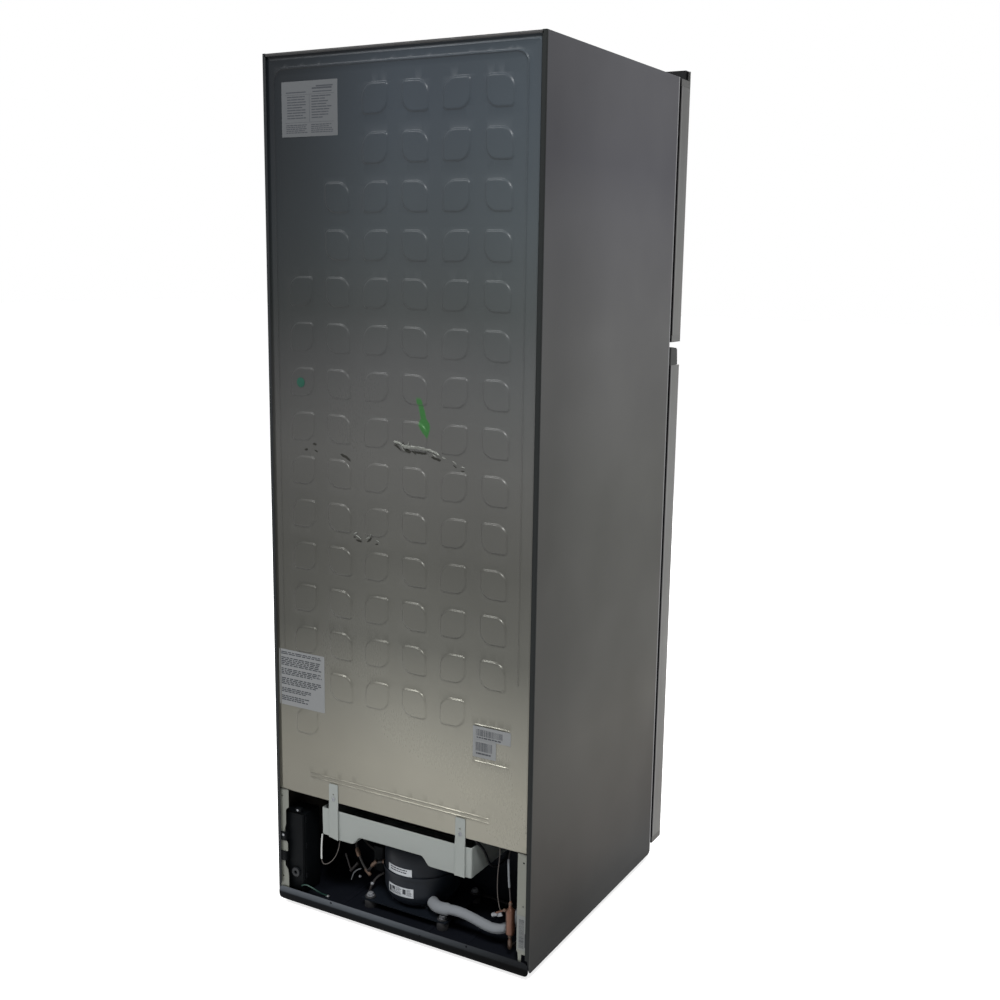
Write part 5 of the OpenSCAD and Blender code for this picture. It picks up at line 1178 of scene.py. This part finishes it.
def addScrews():  # bolts of the compressor's feet and the screws of the straps
    shape = ([], [])
    thread = [(4 - 0.45 * (k % 2), k * screws["pitch"]) for k in range(screws["turns"])]
    for x in screws["feetX"]:
        for y in screws["feetY"]:
            turned(shape, [(3, -0.2)] + thread + [(2.8, screws["long"])], (x, y, screws["foot"]), sides=18)
            turned(shape, screws["washer"], (x, y, screws["washerLow"]), sides=24)
            turned(shape, screws["nut"], (x, y, screws["nutLow"]), sides=6)
    for x in tray["straps"]:
        turned(shape, screws["strap"], (x, 322.05, tray["screw"]), (0, 1, 0), 24)
    for x, y, z, radius, high in screws["heads"]:
        head = [(radius * across, high * up) for across, up in screws["dome"]] + [(0.01, high)]
        turned(shape, head, (x, y, z), (0, 1, 0), 20)
    addPiece("bay_fasteners", shape, "crimpMetal", "cabinet", ["screws"], 35)


strips = {"back": 319.6, "face": 320.5, "fold": 0.9, "foldX": (-292, -294), "wall": (297.5, 319.7, 26.2, 256),
          "left": [(296.8, 256), (273, 256), (273, 217), (280.5, 211), (281, 178), (284, 168), (284, 143), (281, 141),
                   (277, 136), (277, 118), (284, 116), (284, 84), (277.5, 77), (275.5, 62), (275.5, 27), (277, 25.6),
                   (296.8, 25.6)],
          "right": [(-296.8, 256), (-271.2, 256), (-271.2, 58), (-274, 54), (-275.5, 27), (-281, 27), (-281.5, 52),
                    (-296.8, 52)]}


def addStrips():
    def flat(x, z):
        return strips["face"]

    def folded(x, z):  # a low fold beside the outer edge
        return strips["face"] + strips["fold"] * smoothStep(x, *strips["foldX"]) if x < 0 else strips["face"]

    left, right = cutCorners(strips["left"], 2), cutCorners(strips["right"], 1.5)
    shape = plate(([], []), [denser(left, 6), circle(290, 240, 2), circle(290, 60, 2)], strips["back"], flat, 8)
    plate(shape, [denser(right, 3), circle(-284, 238, 2), circle(-284, 150, 1.6)], strips["back"], folded, 2.6)
    y0, y1, z0, z1 = strips["wall"]
    for x in (-296.9, 296.1):
        slab(shape, (x, y0, z0), (x + 0.8, y1, z1), 0.2)
    addPiece("corner_strips", shape, "galvanised", "cabinet", ["bay_strips"], 30)


covers = {"box": (((240, 258.5, 32), (291, 308.2, 204), 3.5),  # two corners and the radius of each block
                  ((240.6, 308, 33), (290.4, 310.2, 203), 3), ((243.5, 309.5, 36), (287.5, 310.5, 200), 2.5)),
          "latches": (60, 128, 186), "clips": ((96, 117), (141, 160)), "hooks": (118.5, 168),
          "button": (285, 322.6, 154.5), "ear": ((250, 300, 206.5), (264, 310.6, 214.5)),
          "terminals": ((86.5, 186, 87), (113.5, 244, 141), 6, 5), "band": ((86.2, 208, 84.5), (115, 222, 143.5), 2)}


def addCovers():
    shape = ([], [])
    for block in covers["box"]:
        roundBlock(shape, *block)
    for z in covers["latches"]:
        slab(shape, (237.6, 300, z), (240.4, 308, z + 12), 0.7)
    for low, high in covers["clips"]:  # they hook over the strip
        roundBlock(shape, (280, 309, low), (296.4, 323.2, high), 4)
    turned(shape, [(6, 0), (6.5, 0.6), (6.5, 1.4), (5.6, 2)], covers["button"], (0, 1, 0), 24)
    for z in covers["hooks"]:
        slab(shape, (283.5, 300.5, z), (296.2, 304.5, z + 10), 0.6)
    slab(shape, *covers["ear"], 1.0)
    roundBlock(shape, *covers["terminals"])
    roundBlock(shape, *covers["band"])
    addPiece("wiring_boxes", shape, "coverPlastic", "cabinet", ["wiring_covers"], 40)


base = {"half": 299, "front": -261, "bay": 115, "rear": 323.6, "low": 24, "floor": 26, "ribs": (-150, -60, 150),
        "lip": [(-298.9, 38), (-298.9, 10), (298.9, 10), (298.9, 38)], "lipBack": 323.2, "lipFace": 325,
        "holes": ((163, 34, 2.5, 14), (-163, 34, 2.5, 14), (-56, 26, 1.6, 12)),
        # ledge, block of the foot and two ears of the roller on each side, as ranges of x, y and z
        "sides": ((275, 299, -261, 115, 24, 26), (251, 299, -261, -222, 24, 40), (258, 260, 277, 293, 12, 24.5),
                  (274, 276, 277, 293, 12, 24.5))}


def addBase():  # floor of the bay with its lip, rails, blocks of the feet and ears of the rollers
    half, front, bay, low, face = (base[key] for key in ("half", "front", "bay", "low", "lipFace"))
    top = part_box("base_frame")[1][2] * 1000

    def lipFace(x, z):  # rolled back along its upper edge and its lower edge
        upper, lower = smoothStep(z, 33.5, 38.5) ** 2, 1 - smoothStep(z, 10, 13)
        return min(face - 1.5 * upper - 1.2 * lower + 0.25 * sin(x / 90), face)

    lip = denser(cutCorners(base["lip"], 12, 6), 9)
    shape = plate(([], []), [lip] + [circle(*hole) for hole in base["holes"]], base["lipBack"], lipFace, 3.4)
    slab(shape, (-half, bay, low), (half, base["rear"], base["floor"]), 0.4)
    for x in base["ribs"]:  # low, pressed into the floor
        roundBlock(shape, (x - 5, 140, 25.5), (x + 5, 300, 27.2), 4)
    for sign in (-1, 1):
        for x0, x1, y0, y1, z0, z1 in ((297, half, front, 323, low, top), *base["sides"]):
            left, right = sorted((sign * x0, sign * x1))
            slab(shape, (left, y0, z0), (right, y1, z1))
    for y in (front, bay):
        slab(shape, (-half, y, low), (half, y + 2, top), 0.5)
    addPiece("base_tray", shape, "baseSteel", "cabinet", ["base_frame"], 30)


shell = {"middle": (8, 215), "low": 46, "high": 186, "corner": 38, "radius": 78,
         "labels": ((-14, 46, 123, 138.5), (-17, 45, 77, 97))}


def onShell(x, z, out):  # a point on the rear of the compressor's shell
    corner, near = shell["corner"], min(z - shell["low"], shell["high"] - z)
    r = shell["radius"] - (corner - sqrt(corner ** 2 - (corner - near) ** 2) if near < corner else 0) + out
    return (x, shell["middle"][1] + sqrt(r * r - (x - shell["middle"][0]) ** 2), z)


def shellPatch(shape, x0, x1, z0, z1, low, high):
    columns, rows = max(2, int((x1 - x0) / 3)), max(1, int((z1 - z0) / 4))
    skins = [[onShell(x0 + (x1 - x0) * i / columns, z0 + (z1 - z0) * j / rows, out)
              for j in range(rows + 1) for i in range(columns + 1)] for out in (high, low)]
    return twoSkins(shape, *skins, columns + 1)


def addShellLabels():
    draw = random.Random(11)
    paperShape, ink = ([], []), ([], [])
    for sheet in shell["labels"]:
        shellPatch(paperShape, *sheet, 0.05, 0.35)
    upper = lineMarks(draw, 2, 0.12, 0.86, 0.2, 0.85, 0.5, 0.2, 7)
    lower = [(0.03, 0.14, 0.12, 0.8), (0.17, 0.31, 0.5, 0.85), (0.62, 0.74, 0.3, 0.85)]
    for row in ((4, 0.17, 0.58, 0.1, 0.46, 0.5, 0.2, 5), (5, 0.34, 0.6, 0.5, 0.9, 0.5, 0.3, 4),
                (6, 0.77, 0.95, 0.15, 0.85, 0.45, 0.3, 3)):
        lower += lineMarks(draw, *row)
    for (x0, x1, z0, z1), marks in zip(shell["labels"], (upper, lower)):
        wide, high = x1 - x0, z1 - z0
        for left, right, bottom, top in marks:
            shellPatch(ink, x1 - right * wide, x1 - left * wide, z0 + bottom * high, z0 + top * high, 0.3, 0.42)
    addPiece("shell_label_paper", paperShape, "dullPaper", "cabinet", (), 60)
    addPiece("shell_label_print", ink, "ink", "cabinet", (), 60)


stubs = {  # radius and route of each, and profile, place and direction of the caps
    "service": ((3.0, (167, 250, 72), (161, 250, 79), (154, 250, 87), (147, 250, 96)),
                (2.6, (112, 262, 40), (108, 262, 52), (104, 258, 66), (98, 250, 78), (88, 240, 84)),
                (2.0, (190, 236, 100), (184, 238, 90), (178, 240, 78), (170, 242, 66))),
    "bright": (1.3, (164.8, 250, 52.5), (159.7, 250, 69.2), (148.7, 250, 80), (139.8, 250, 84.1)),
    "caps": (([(2.4, 0), (2.8, 0.6), (2.8, 3.6), (2.2, 4.4)], (139.8, 251, 66.4), (0.4, 0.8, 0.5)),
             ([(2.6, 0), (3.1, 0.6), (3.1, 4.6), (2.2, 5.4)], (89, 278, 77), (0.2, 0.9, 0.3))),
    "thin": (0.9, (-219.7, 296, 256), (-219.2, 296, 230), (-216.7, 295.5, 207), (-214.1, 295, 186.5),
             (-213.6, 295, 162.7), (-214.8, 295, 139.1), (-218.9, 295.5, 120.4), (-221.6, 296, 114.5))}


def addSmallPipes():  # short tubes, leads and stubs round the compressor
    shape = ([], [])
    for radius, *route in stubs["service"]:
        sweep(shape, route, 3, radius, 12, 4)
    addPiece("service_stubs", shape, "darkPipe", "cabinet")
    radius, *route = stubs["bright"]
    shape = sweep(([], []), route, 2, radius, 10)
    for profile, place, ahead in stubs["caps"]:
        turned(shape, profile, place, ahead, 16)
    addPiece("bright_stubs", shape, "crimpMetal", "cabinet")
    radius, *route = stubs["thin"]
    addPiece("thin_lead", sweep(([], []), route, 4, radius, 10, 4), "brownWire", "cabinet")


addTray()
addStraps()
addScrews()
addStrips()
addCovers()
addBase()
addShellLabels()
addSmallPipes()
print("tray, strips, covers and base made")


doors = {"side": 300, "front": -325, "back": -271, "corner": 7, "gasketX": 274, "hem": 14,
         "raised": (1732, -317, 2.5),  # top of the raised edge, how far back it turns, radius of its bend
         "skins": {"freezer": (1190, 1697.5), "fridge": (49.5, 1127)},
         "gaskets": {"freezer": (1188, 1697), "fridge": (49.5, 1154)},
         "ridges": {"freezer": (228, 1215, 1641), "fridge": (243, 107, 1127)}, "binFront": -175,
         "bins": {"freezer": ((1225, 80), (1435, 80)), "fridge": ((117, 120), (447, 80), (677, 80), (907, 80))},
         # sections as (inset, distance out from the inner panel)
         "seal": [(0.6, 0.1), (15.4, 0.1), (15.4, 1.7), (11, 2.6), (13.6, 4), (11.6, 5.4), (15.2, 6.4), (15.2, 8.2),
                  (14.4, 8.6), (1.4, 8.6), (0.7, 8.2), (0.7, 6.4), (4.4, 5.4), (2.4, 4), (5, 2.6), (0.6, 1.7)],
         "ridge": [(-3, -0.5), (-0.6, 0.6), (0, 3), (0.6, 27), (1.4, 30.4), (3.4, 32), (6.6, 32), (8.6, 30.4),
                   (9.4, 27), (10, 3), (10.6, 0.6), (13, -0.5)]}


def doorPlan(depth):
    x1, y0, r = doors["side"] - depth, doors["front"] + depth, doors["corner"] - depth
    plan = [(-x1, doors["back"])]
    for cx, start in ((r - x1, 180), (x1 - r, 270)):
        plan += [(cx + r * cos(radians(start + step)), y0 + r + r * sin(radians(start + step)))
                 for step in range(0, 91, 15)]
    return plan + [(x1, doors["back"])]


def raisedEdge(i, x, y, cut, turn):  # wraps round the handle side and stops short of the corner beside the hinge
    edge = doors["side"] - doors["corner"] - cut
    if x > edge - 0.001:
        return edge, doors["front"] + (i - 8) / 15
    return max(cut - doors["side"], x), min(y, turn)


def fromBack(section):
    return [(inset, doors["back"] + out) for inset, out in section]


def addSkin(which, body):
    low, high = doors["skins"][which]
    loop = doorPlan(0) + doorPlan(1)[::-1]
    rings = [[(x, y, low + (high - low) * k / 12) for x, y in loop] for k in range(13)]
    if which == "freezer":  # the sheet runs up past the cap
        top, turn, radius = doors["raised"]
        levels = [(high, 0), (top - radius, 0)]
        for a in (20, 40, 60, 75, 90):
            levels.append((top - radius + radius * sin(radians(a)), radius - radius * cos(radians(a))))
        rings += [[(*raisedEdge(i, x, y, cut, turn), z) for i, (x, y) in enumerate(loop)] for z, cut in levels]
    addPiece(body + "_sheet", loft(([], []), rings), "doorSteel", body, [body + "_skin"], 35)


def addInnerPanel(which, body):
    low, high = doors["skins"][which]
    hem, (x1, ridgeLow, ridgeHigh) = doors["hem"], doors["ridges"][which]
    box = (-299 + hem, 299 - hem, low + hem, high - hem)
    shape = tub(([], []), box, fromBack([(0, -2), (0, -0.4), (0.4, 0)]), [2] * 4, "y", 3)
    frameRing(shape, (-x1, x1, ridgeLow, ridgeHigh), fromBack(doors["ridge"]), 15, steps=6)
    for k in (-1, 0, 1):  # shallow ribs stiffen the middle of the panel
        x = k * x1 * 0.5
        rib = fromBack([(-2, -0.5), (0, 0.5), (1.5, 1.3), (4, 1.5)])
        tub(shape, (x - 9, x + 9, ridgeLow + 30, ridgeHigh - 30), rib, [9] * 4, "y", 5)
    addPiece(body + "_inner_panel", shape, "whiteLiner", body, [body + "_liner"], 40)
    section = fromBack([(0, -2), (0, -0.3), (0.3, 0), (hem + 0.5, 0), (hem + 1, -0.3), (hem + 1, -2)])
    shape = frameRing(([], []), (-299, 299, low, high), section, 2)
    addPiece(body + "_hem", shape, "gapShadeBlack", body, (), 30)  # near-black edge of the inner panel, painted shade of the gap round the door


def addBins(which, body):
    half, rearY, front = doors["ridges"][which][0] - 10.2, doors["back"] + 1.8, doors["binFront"]
    shape = ([], [])
    for z, high in doors["bins"][which]:
        levels = [(3, 0), (1.4, 0.5), (0.9, 2), (0.9, high - 9), (0.2, high - 8), (0, high - 0.8), (0.5, high),
                  (2.4, high), (2.9, high - 0.8), (3.4, high - 8), (3.4, 4.5), (4.4, 3), (6, 2.5)]
        tub(shape, (-half, half, rearY, front), [(inset, z + up) for inset, up in levels], (16, 16, 3, 3), steps=5)
        for rib in range(5):  # ribs on the floor and a grip band along the front
            up = z + 12 + rib * 5
            slab(shape, (-half + 24, front - 1.4, up), (half - 24, front - 0.1, up + 1.6), 0.5)
        for rib in range(int(half / 30)):
            for sign in (-1, 1):
                x = sign * (15 + rib * 30)
                slab(shape, (x - 1, doors["back"] + 8, z + 2.4), (x + 1, front - 8, z + 3.6), 0.3)
    addPiece(which + "_door_bins", shape, "clearPlastic", body, [which + "_bins"], 35)


def addDoor(which):
    body = which + "_door"
    addSkin(which, body)
    box = (-doors["gasketX"], doors["gasketX"], *doors["gaskets"][which])
    seal = frameRing(([], []), box, fromBack(doors["seal"]), 5)
    addPiece(body + "_seal", seal, "rubber", body, [which + "_gasket"], 30)
    addInnerPanel(which, body)
    addBins(which, body)


kick = {"outline": [(234, 18), (234, 46), (-288, 46), (-288, 18)], "corner": 3, "face": -265, "back": -262,
        "grooves": (38, 26), "grooveDeep": 0.9, "grooveHalf": 2.2, "middle": -27,
        "screws": (214, -268), "screwHigh": 32, "screw": [(2.3, 0), (2.3, 0.6), (1.4, 1.1), (0.8, 0.7), (0.01, 0.6)]}


def addKickPlate():
    def front(x, z):  # two long grooves along the plate
        groove = max(0, *(1 - abs(z - at) / kick["grooveHalf"] for at in kick["grooves"]))
        return kick["face"] + kick["grooveDeep"] * (groove * smoothStep(abs(x - kick["middle"]), 250, 244))

    loop = denser(cutCorners(kick["outline"], kick["corner"]), 6)
    holes = [circle(x, kick["screwHigh"], 2.4) for x in kick["screws"]]
    shape = plate(([], []), [loop] + holes, kick["back"], front, 3)
    addPiece("kick_panel", shape, "darkPlastic", "cabinet", ["kick_plate"], 30)
    shape = ([], [])
    for x in kick["screws"]:
        turned(shape, kick["screw"], (x, kick["back"] - 0.6, kick["screwHigh"]), (0, -1, 0), 16)
    addPiece("kick_panel_screws", shape, "zincSteel", "cabinet", (), 30)


hingeCap = {"box": (228.2, 291, -258, -194), "radii": (9, 9, 4, 4),
            "wells": (240, 279), "wellY": -226, "wellZ": 1729.7,  # for screws
            "levels": [(0, 1713), (0, 1721), (0.6, 1725), (2, 1728), (4.4, 1729.6), (7, 1730)],
            "well": [(5, 0), (5, 0.3), (3.6, 0.3), (3.4, -0.4), (0.01, -0.5)]}


def addHingeCover():
    shape = tub(([], []), hingeCap["box"], hingeCap["levels"], hingeCap["radii"], steps=6)
    for x in hingeCap["wells"]:
        turned(shape, hingeCap["well"], (x, hingeCap["wellY"], hingeCap["wellZ"]), sides=24)
    addPiece("hinge_cap", shape, "darkPlastic", "cabinet", ["hinge_cover"], 40)


rolling = {"tyre": [(2.2, -11), (2.2, -7.2), (4.5, -7), (4.5, -5.6), (7.2, -5.6), (7.6, -7), (8.9, -6.8),
                    (9.5, -5.6), (9.5, 5.6), (8.9, 6.8), (7.6, 7), (7.2, 5.6), (4.5, 5.6), (4.5, 7), (2.2, 7.2),
                    (2.2, 11)],
           "axle": (268, 285, 9.5), "foot": (265, -236),
           "pad": [(15.5, 0, 0), (17.4, 1.2, 0.5), (18, 1.6, 1.4), (18, 1.6, 5.6), (17.2, 1.2, 6.6), (15, 0, 7),
                   (9, 0, 7.2), (8, 0, 9), (6, 0, 9.4)]}  # radius, depth of the grooves, height


def addWheelsAndFeet():
    for side, sign in (("right", 1), ("left", -1)):
        wheel, foot = "roller_" + side, "foot_" + side
        x, y, z = rolling["axle"]
        shape = turned(([], []), rolling["tyre"], (sign * x, y, z), (1, 0, 0), 48)
        addPiece("rear_" + wheel, shape, "rollerNylon", wheel, [wheel], 35)
        x, y = sign * rolling["foot"][0], rolling["foot"][1]
        rings = [[(x + a, y + b, z) for a, b in lobed(r, cut, 12, 96)] for r, cut, z in rolling["pad"]]
        shape = loft(([], []), rings)
        thread = [(4.9 - 0.6 * (k % 2), 8.5 + k * 0.75) for k in range(40)]
        turned(shape, thread + [(3.6, 38.9)], (x, y, 0), sides=24)
        addPiece("levelling_" + foot, shape, "blackPlastic", foot, [foot], 35)


addDoor("freezer")
addDoor("fridge")
addKickPlate()
addHingeCover()
addWheelsAndFeet()
print("doors with seals and bins, kick panel, hinge cap, rollers and feet")


shelves = {"front": -150, "freezer": (238.5, 187, 1418), "fridge": (253, 250, (508, 703, 898)),
           "cover": (253, 278, 308),  # half the width, rear edge and underside, as for the shelves
           "pane": ((0.7, 0), (0, 0.7), (0, 3.3), (0.7, 4)), "frontTrim": (-1.5, 9), "rearTrim": 7}


def addShelves():
    glass, trims, cover = ([], []), ([], []), ([], [])
    x, rear, heights = shelves["fridge"]
    places = [(glass, *shelves["freezer"])] + [(glass, x, rear, z) for z in heights]
    front, trimFront = shelves["front"], [shelves["front"] + at for at in shelves["frontTrim"]]
    for pane, x, rear, z in places + [(cover, *shelves["cover"])]:
        tub(pane, (-x, x, front, rear), [(inset, z + up) for inset, up in shelves["pane"]], [5] * 4)
        if pane is cover:
            addPiece("crisper_lid", cover, "shelfGlass", "cabinet", ["crisper_cover"], 35)
        ends = [(1, 0.6 - x), (0.2, 1.4 - x), (0, 2.5 - x), (0, x - 2.5), (0.2, x - 1.4), (1, x - 0.6)]
        for y0, y1 in (trimFront, (rear - shelves["rearTrim"], rear)):  # clipped-on trims
            tub(trims, (y0, y1, z - 1.8, z + 5.8), ends, [2.4] * 4, "x")
    addPiece("shelf_panes", glass, "shelfGlass", "cabinet", ["glass_shelves"], 35)
    addPiece("shelf_trims", trims, "whiteLiner", "cabinet", (), 40)


crisper = {"right": (6, 241), "left": (-241, -6), "front": -161, "rear": 77, "radii": (10, 10, 14, 14),
           "wall": [(9, 98), (6.4, 98.6), (5, 101), (2.4, 284), (0.2, 286), (0, 296.4), (0.5, 297), (2.2, 297),
                    (2.7, 296), (3, 288), (4.8, 284), (7.4, 103), (9, 101), (12, 100.5)],
           "grip": [(1, 284.6), (0.2, 285.2), (0, 286.4), (0, 288.4), (0.6, 289.4)], "gripFrom": -165, "gripTo": -158,
           "ribs": 5, "ribTop": 262}


def addCrispers():
    for side in ("right", "left"):
        x0, x1 = crisper[side]
        shape = tub(([], []), (x0, x1, crisper["front"], crisper["rear"]), crisper["wall"], crisper["radii"], steps=5)
        box = (x0 + 20, x1 - 20, crisper["gripFrom"], crisper["gripTo"])
        tub(shape, box, crisper["grip"], (0.8, 0.8, 3, 3))
        for k in range(crisper["ribs"]):  # below the grip
            z = crisper["ribTop"] - k * 5
            slab(shape, (x0 + 34, -160.9, z), (x1 - 34, -158.2, z + 1.6), 0.5)
        drawer = "crisper_" + side
        addPiece("crisper_drawer_" + side, shape, "clearPlastic", drawer, [drawer], 35)


fan = {"height": 1543, "blades": 5, "middle": 214, "half": 0.7, "root": 15, "step": 5, "rows": 8, "columns": 9,
       "hub": [(9, 205.2), (13, 205.6), (15.4, 207), (16, 209), (16, 222), (15, 223), (6, 223), (5, 224.5), (3, 225),
               (3, 245.8)]}


def addFan():
    shape = turned(([], []), fan["hub"], (0, 0, fan["height"]), (0, 1, 0), 40)
    for blade in range(fan["blades"]):
        turn, skins = radians(72 * blade), []
        for up in (-fan["half"], fan["half"]):  # the two faces of the blade
            skins.append([])
            for i in range(fan["rows"]):
                r = fan["root"] + i * fan["step"]
                pitch, half = radians(44 - i * 2.4), 8.5 + 3.6 * sin(pi * (i + 1.2) / 9)
                tip = 1 if i < 7 else 0.82
                for c in (j / 4 - 1 for j in range(fan["columns"])):
                    y = fan["middle"] + c * half * sin(pitch) * tip + 1.5 * (1 - c * c) + up * (1 - 0.5 * c * c)
                    angle = turn + c * half * cos(pitch) * tip / r
                    skins[-1].append((r * cos(angle), y, fan["height"] + r * sin(angle)))
        twoSkins(shape, *skins, fan["columns"])
    addPiece("fan_wheel", shape, "fanPlastic", "evaporator_fan", ["fan_blade"], 40)


iceTray = {"place": (-182.7, -152, 1595.7), "half": 48, "long": 220, "columns": 2, "rows": 7,
           "across": 46.7, "along": 30.6,  # size of a cup
           "cup": [(6, -14.6), (4, -13.8), (2.6, -11), (0.2, 13), (0, 14.4), (0.3, 14.9), (1.1, 14.9), (1.5, 14),
                   (4, -9.5), (5.4, -12), (8, -12.8)],
           "brim": [(0, 15), (0, 9), (0.8, 9), (1.2, 13.6), (2.4, 13.8), (2.4, 15)],
           "knob": [(5, 0, -0.5), (5, 0, 12), (12.6, 0, 12.2), (14, 1, 13.4), (14, 1, 20), (12.8, 0.6, 21.6),
                    (10, 0, 22)],  # radius, depth of the grooves, distance ahead of the tray
           "grip": [(0, 20.5), (0, 28), (0.8, 29.6), (1.6, 30)], "pin": [(5, 219.5), (5, 224.4), (4.4, 225)]}


def addIceTray():
    x, y, z = iceTray["place"]
    half, across, along, shape = iceTray["half"], iceTray["across"], iceTray["along"], ([], [])
    for column in range(iceTray["columns"]):
        for row in range(iceTray["rows"]):
            x0, y0 = x - half + 1.1 + column * 47, y + 1.1 + row * (216 / 7)
            tub(shape, (x0, x0 + across, y0, y0 + along), [(inset, z + up) for inset, up in iceTray["cup"]], [9] * 4)
    brim = [(inset, z + up) for inset, up in iceTray["brim"]]
    frameRing(shape, (x - half, x + half, y, y + iceTray["long"]), brim, 6, "z", 5)
    loft(shape, [[(x + a, y - at, z + b) for a, b in lobed(r, cut, 16, 96)] for r, cut, at in iceTray["knob"]])
    tub(shape, (x - 3, x + 3, z - 13, z + 13), [(inset, y - at) for inset, at in iceTray["grip"]], [3] * 4, "y")
    turned(shape, iceTray["pin"], (x, y, z), (0, 1, 0))
    addPiece("ice_cube_tray", shape, "trayBlue", "ice_tray", ["ice_tray"], 35)


dial = {"place": (62, 1117), "lobes": 18,
        "knob": [(2.9, 0, -112), (2.9, 0, -120.4), (14.4, 0, -120.5), (15, 0, -121.4), (15, 0, -123.4),
                 (13.8, 0.7, -124), (13.4, 0.7, -131.6), (12.4, 0.3, -132.8), (10, 0, -133)],  # radius, groove, y
        "grip": [(0, -132.5), (0, -136.8), (0.6, -137.7), (1.4, -138)], "marks": 7,
        "lens": (-69.6, 19.6, -89.6, -30.4), "lensLevels": [(1, 1094.9), (0, 1095.6), (0, 1097)], "lensRibs": 14}


def addDial():
    x, z = dial["place"]
    rings = [[(x + a, at, z + b) for a, b in lobed(r, cut, dial["lobes"], 144)] for r, cut, at in dial["knob"]]
    shape = loft(([], []), rings)
    tub(shape, (x - 2.5, x + 2.5, z - 13, z + 13), dial["grip"], [2.4] * 4, "y")
    addPiece("dial_knob", shape, "whiteLiner", "thermostat_knob", ["thermostat_knob"], 35)
    marks = ([], [])
    for k in range(dial["marks"]):  # of growing length round the dial
        angle = radians(210 - 40 * k)
        for step in range(k + 2):
            r = 17.4 + step * 0.5
            px, pz = x + r * cos(angle), z + r * sin(angle)
            slab(marks, (px - 0.45, -120.25, pz - 0.45), (px + 0.45, -119.9, pz + 0.45), 0.1)
    addPiece("dial_marks", marks, "ink", "cabinet", (), 30)
    lens = tub(([], []), dial["lens"], dial["lensLevels"], [4] * 4)
    for k in range(dial["lensRibs"]):
        slab(lens, (-65 + k * 6, -86, 1095.05), (-62 + k * 6, -34, 1096), 0.3)
    addPiece("lamp_lens", lens, "clearPlastic", "cabinet", (), 30)


slats = {"pitch": 42, "half": 17.2, "front": 189.6, "back": 192.4,
         "groups": ((4, (1225,), 2.2), (2, (1531, 1555), 1.6)),  # slots either side of the middle, heights, half gap
         "screwsX": (-210, 210), "screwsZ": (1240, 1620), "screw": [(4, 0), (4, 0.5), (3.2, 1.1), (0.01, 1.3)]}


def addLouvres():  # slats across the slots of the evaporator's cover
    shape = ([], [])
    half, front, back = slats["half"], slats["front"], slats["back"]
    for count, rows, gap in slats["groups"]:
        for x in (k * slats["pitch"] for k in range(-count, count + 1)):
            for z in (row + up for row in rows for up in (-gap, gap)):
                slab(shape, (x - half, front, z - 0.5), (x + half, back, z + 0.5), 0.2)
    for x in slats["screwsX"]:
        for z in slats["screwsZ"]:
            turned(shape, slats["screw"], (x, 189.1, z), (0, -1, 0), 20)
    addPiece("cover_slats", shape, "whiteLiner", "cabinet", (), 30)


def soften(width, names):  # rounds the edges of frame nodes that are drawn as they are
    for name in names.split():
        weld = nodes[name].modifiers.new("weld", "WELD")
        weld.merge_threshold = 0.00001
        flatten = nodes[name].modifiers.new("flatten", "DECIMATE")
        flatten.decimate_type = "DISSOLVE"
        flatten.angle_limit = radians(1)
        bevel = nodes[name].modifiers.new("bevel", "BEVEL")
        bevel.width, bevel.segments, bevel.limit_method = width / 1000, 2, "ANGLE"
        bevel.angle_limit = radians(38)


addShelves()
addCrispers()
addFan()
addIceTray()
addDial()
addLouvres()
soften(0.7, "freezer_door_caps fridge_door_caps control_box fridge_duct ice_tray_frame fan_motor")
soften(0.5, "freezer_liner fridge_liner evaporator_cover top_hinge middle_hinge bottom_hinge")
soften(0.9, "compressor_feet cord_gland")
print("shelves, drawers, fan, ice tray, dial and louvres")
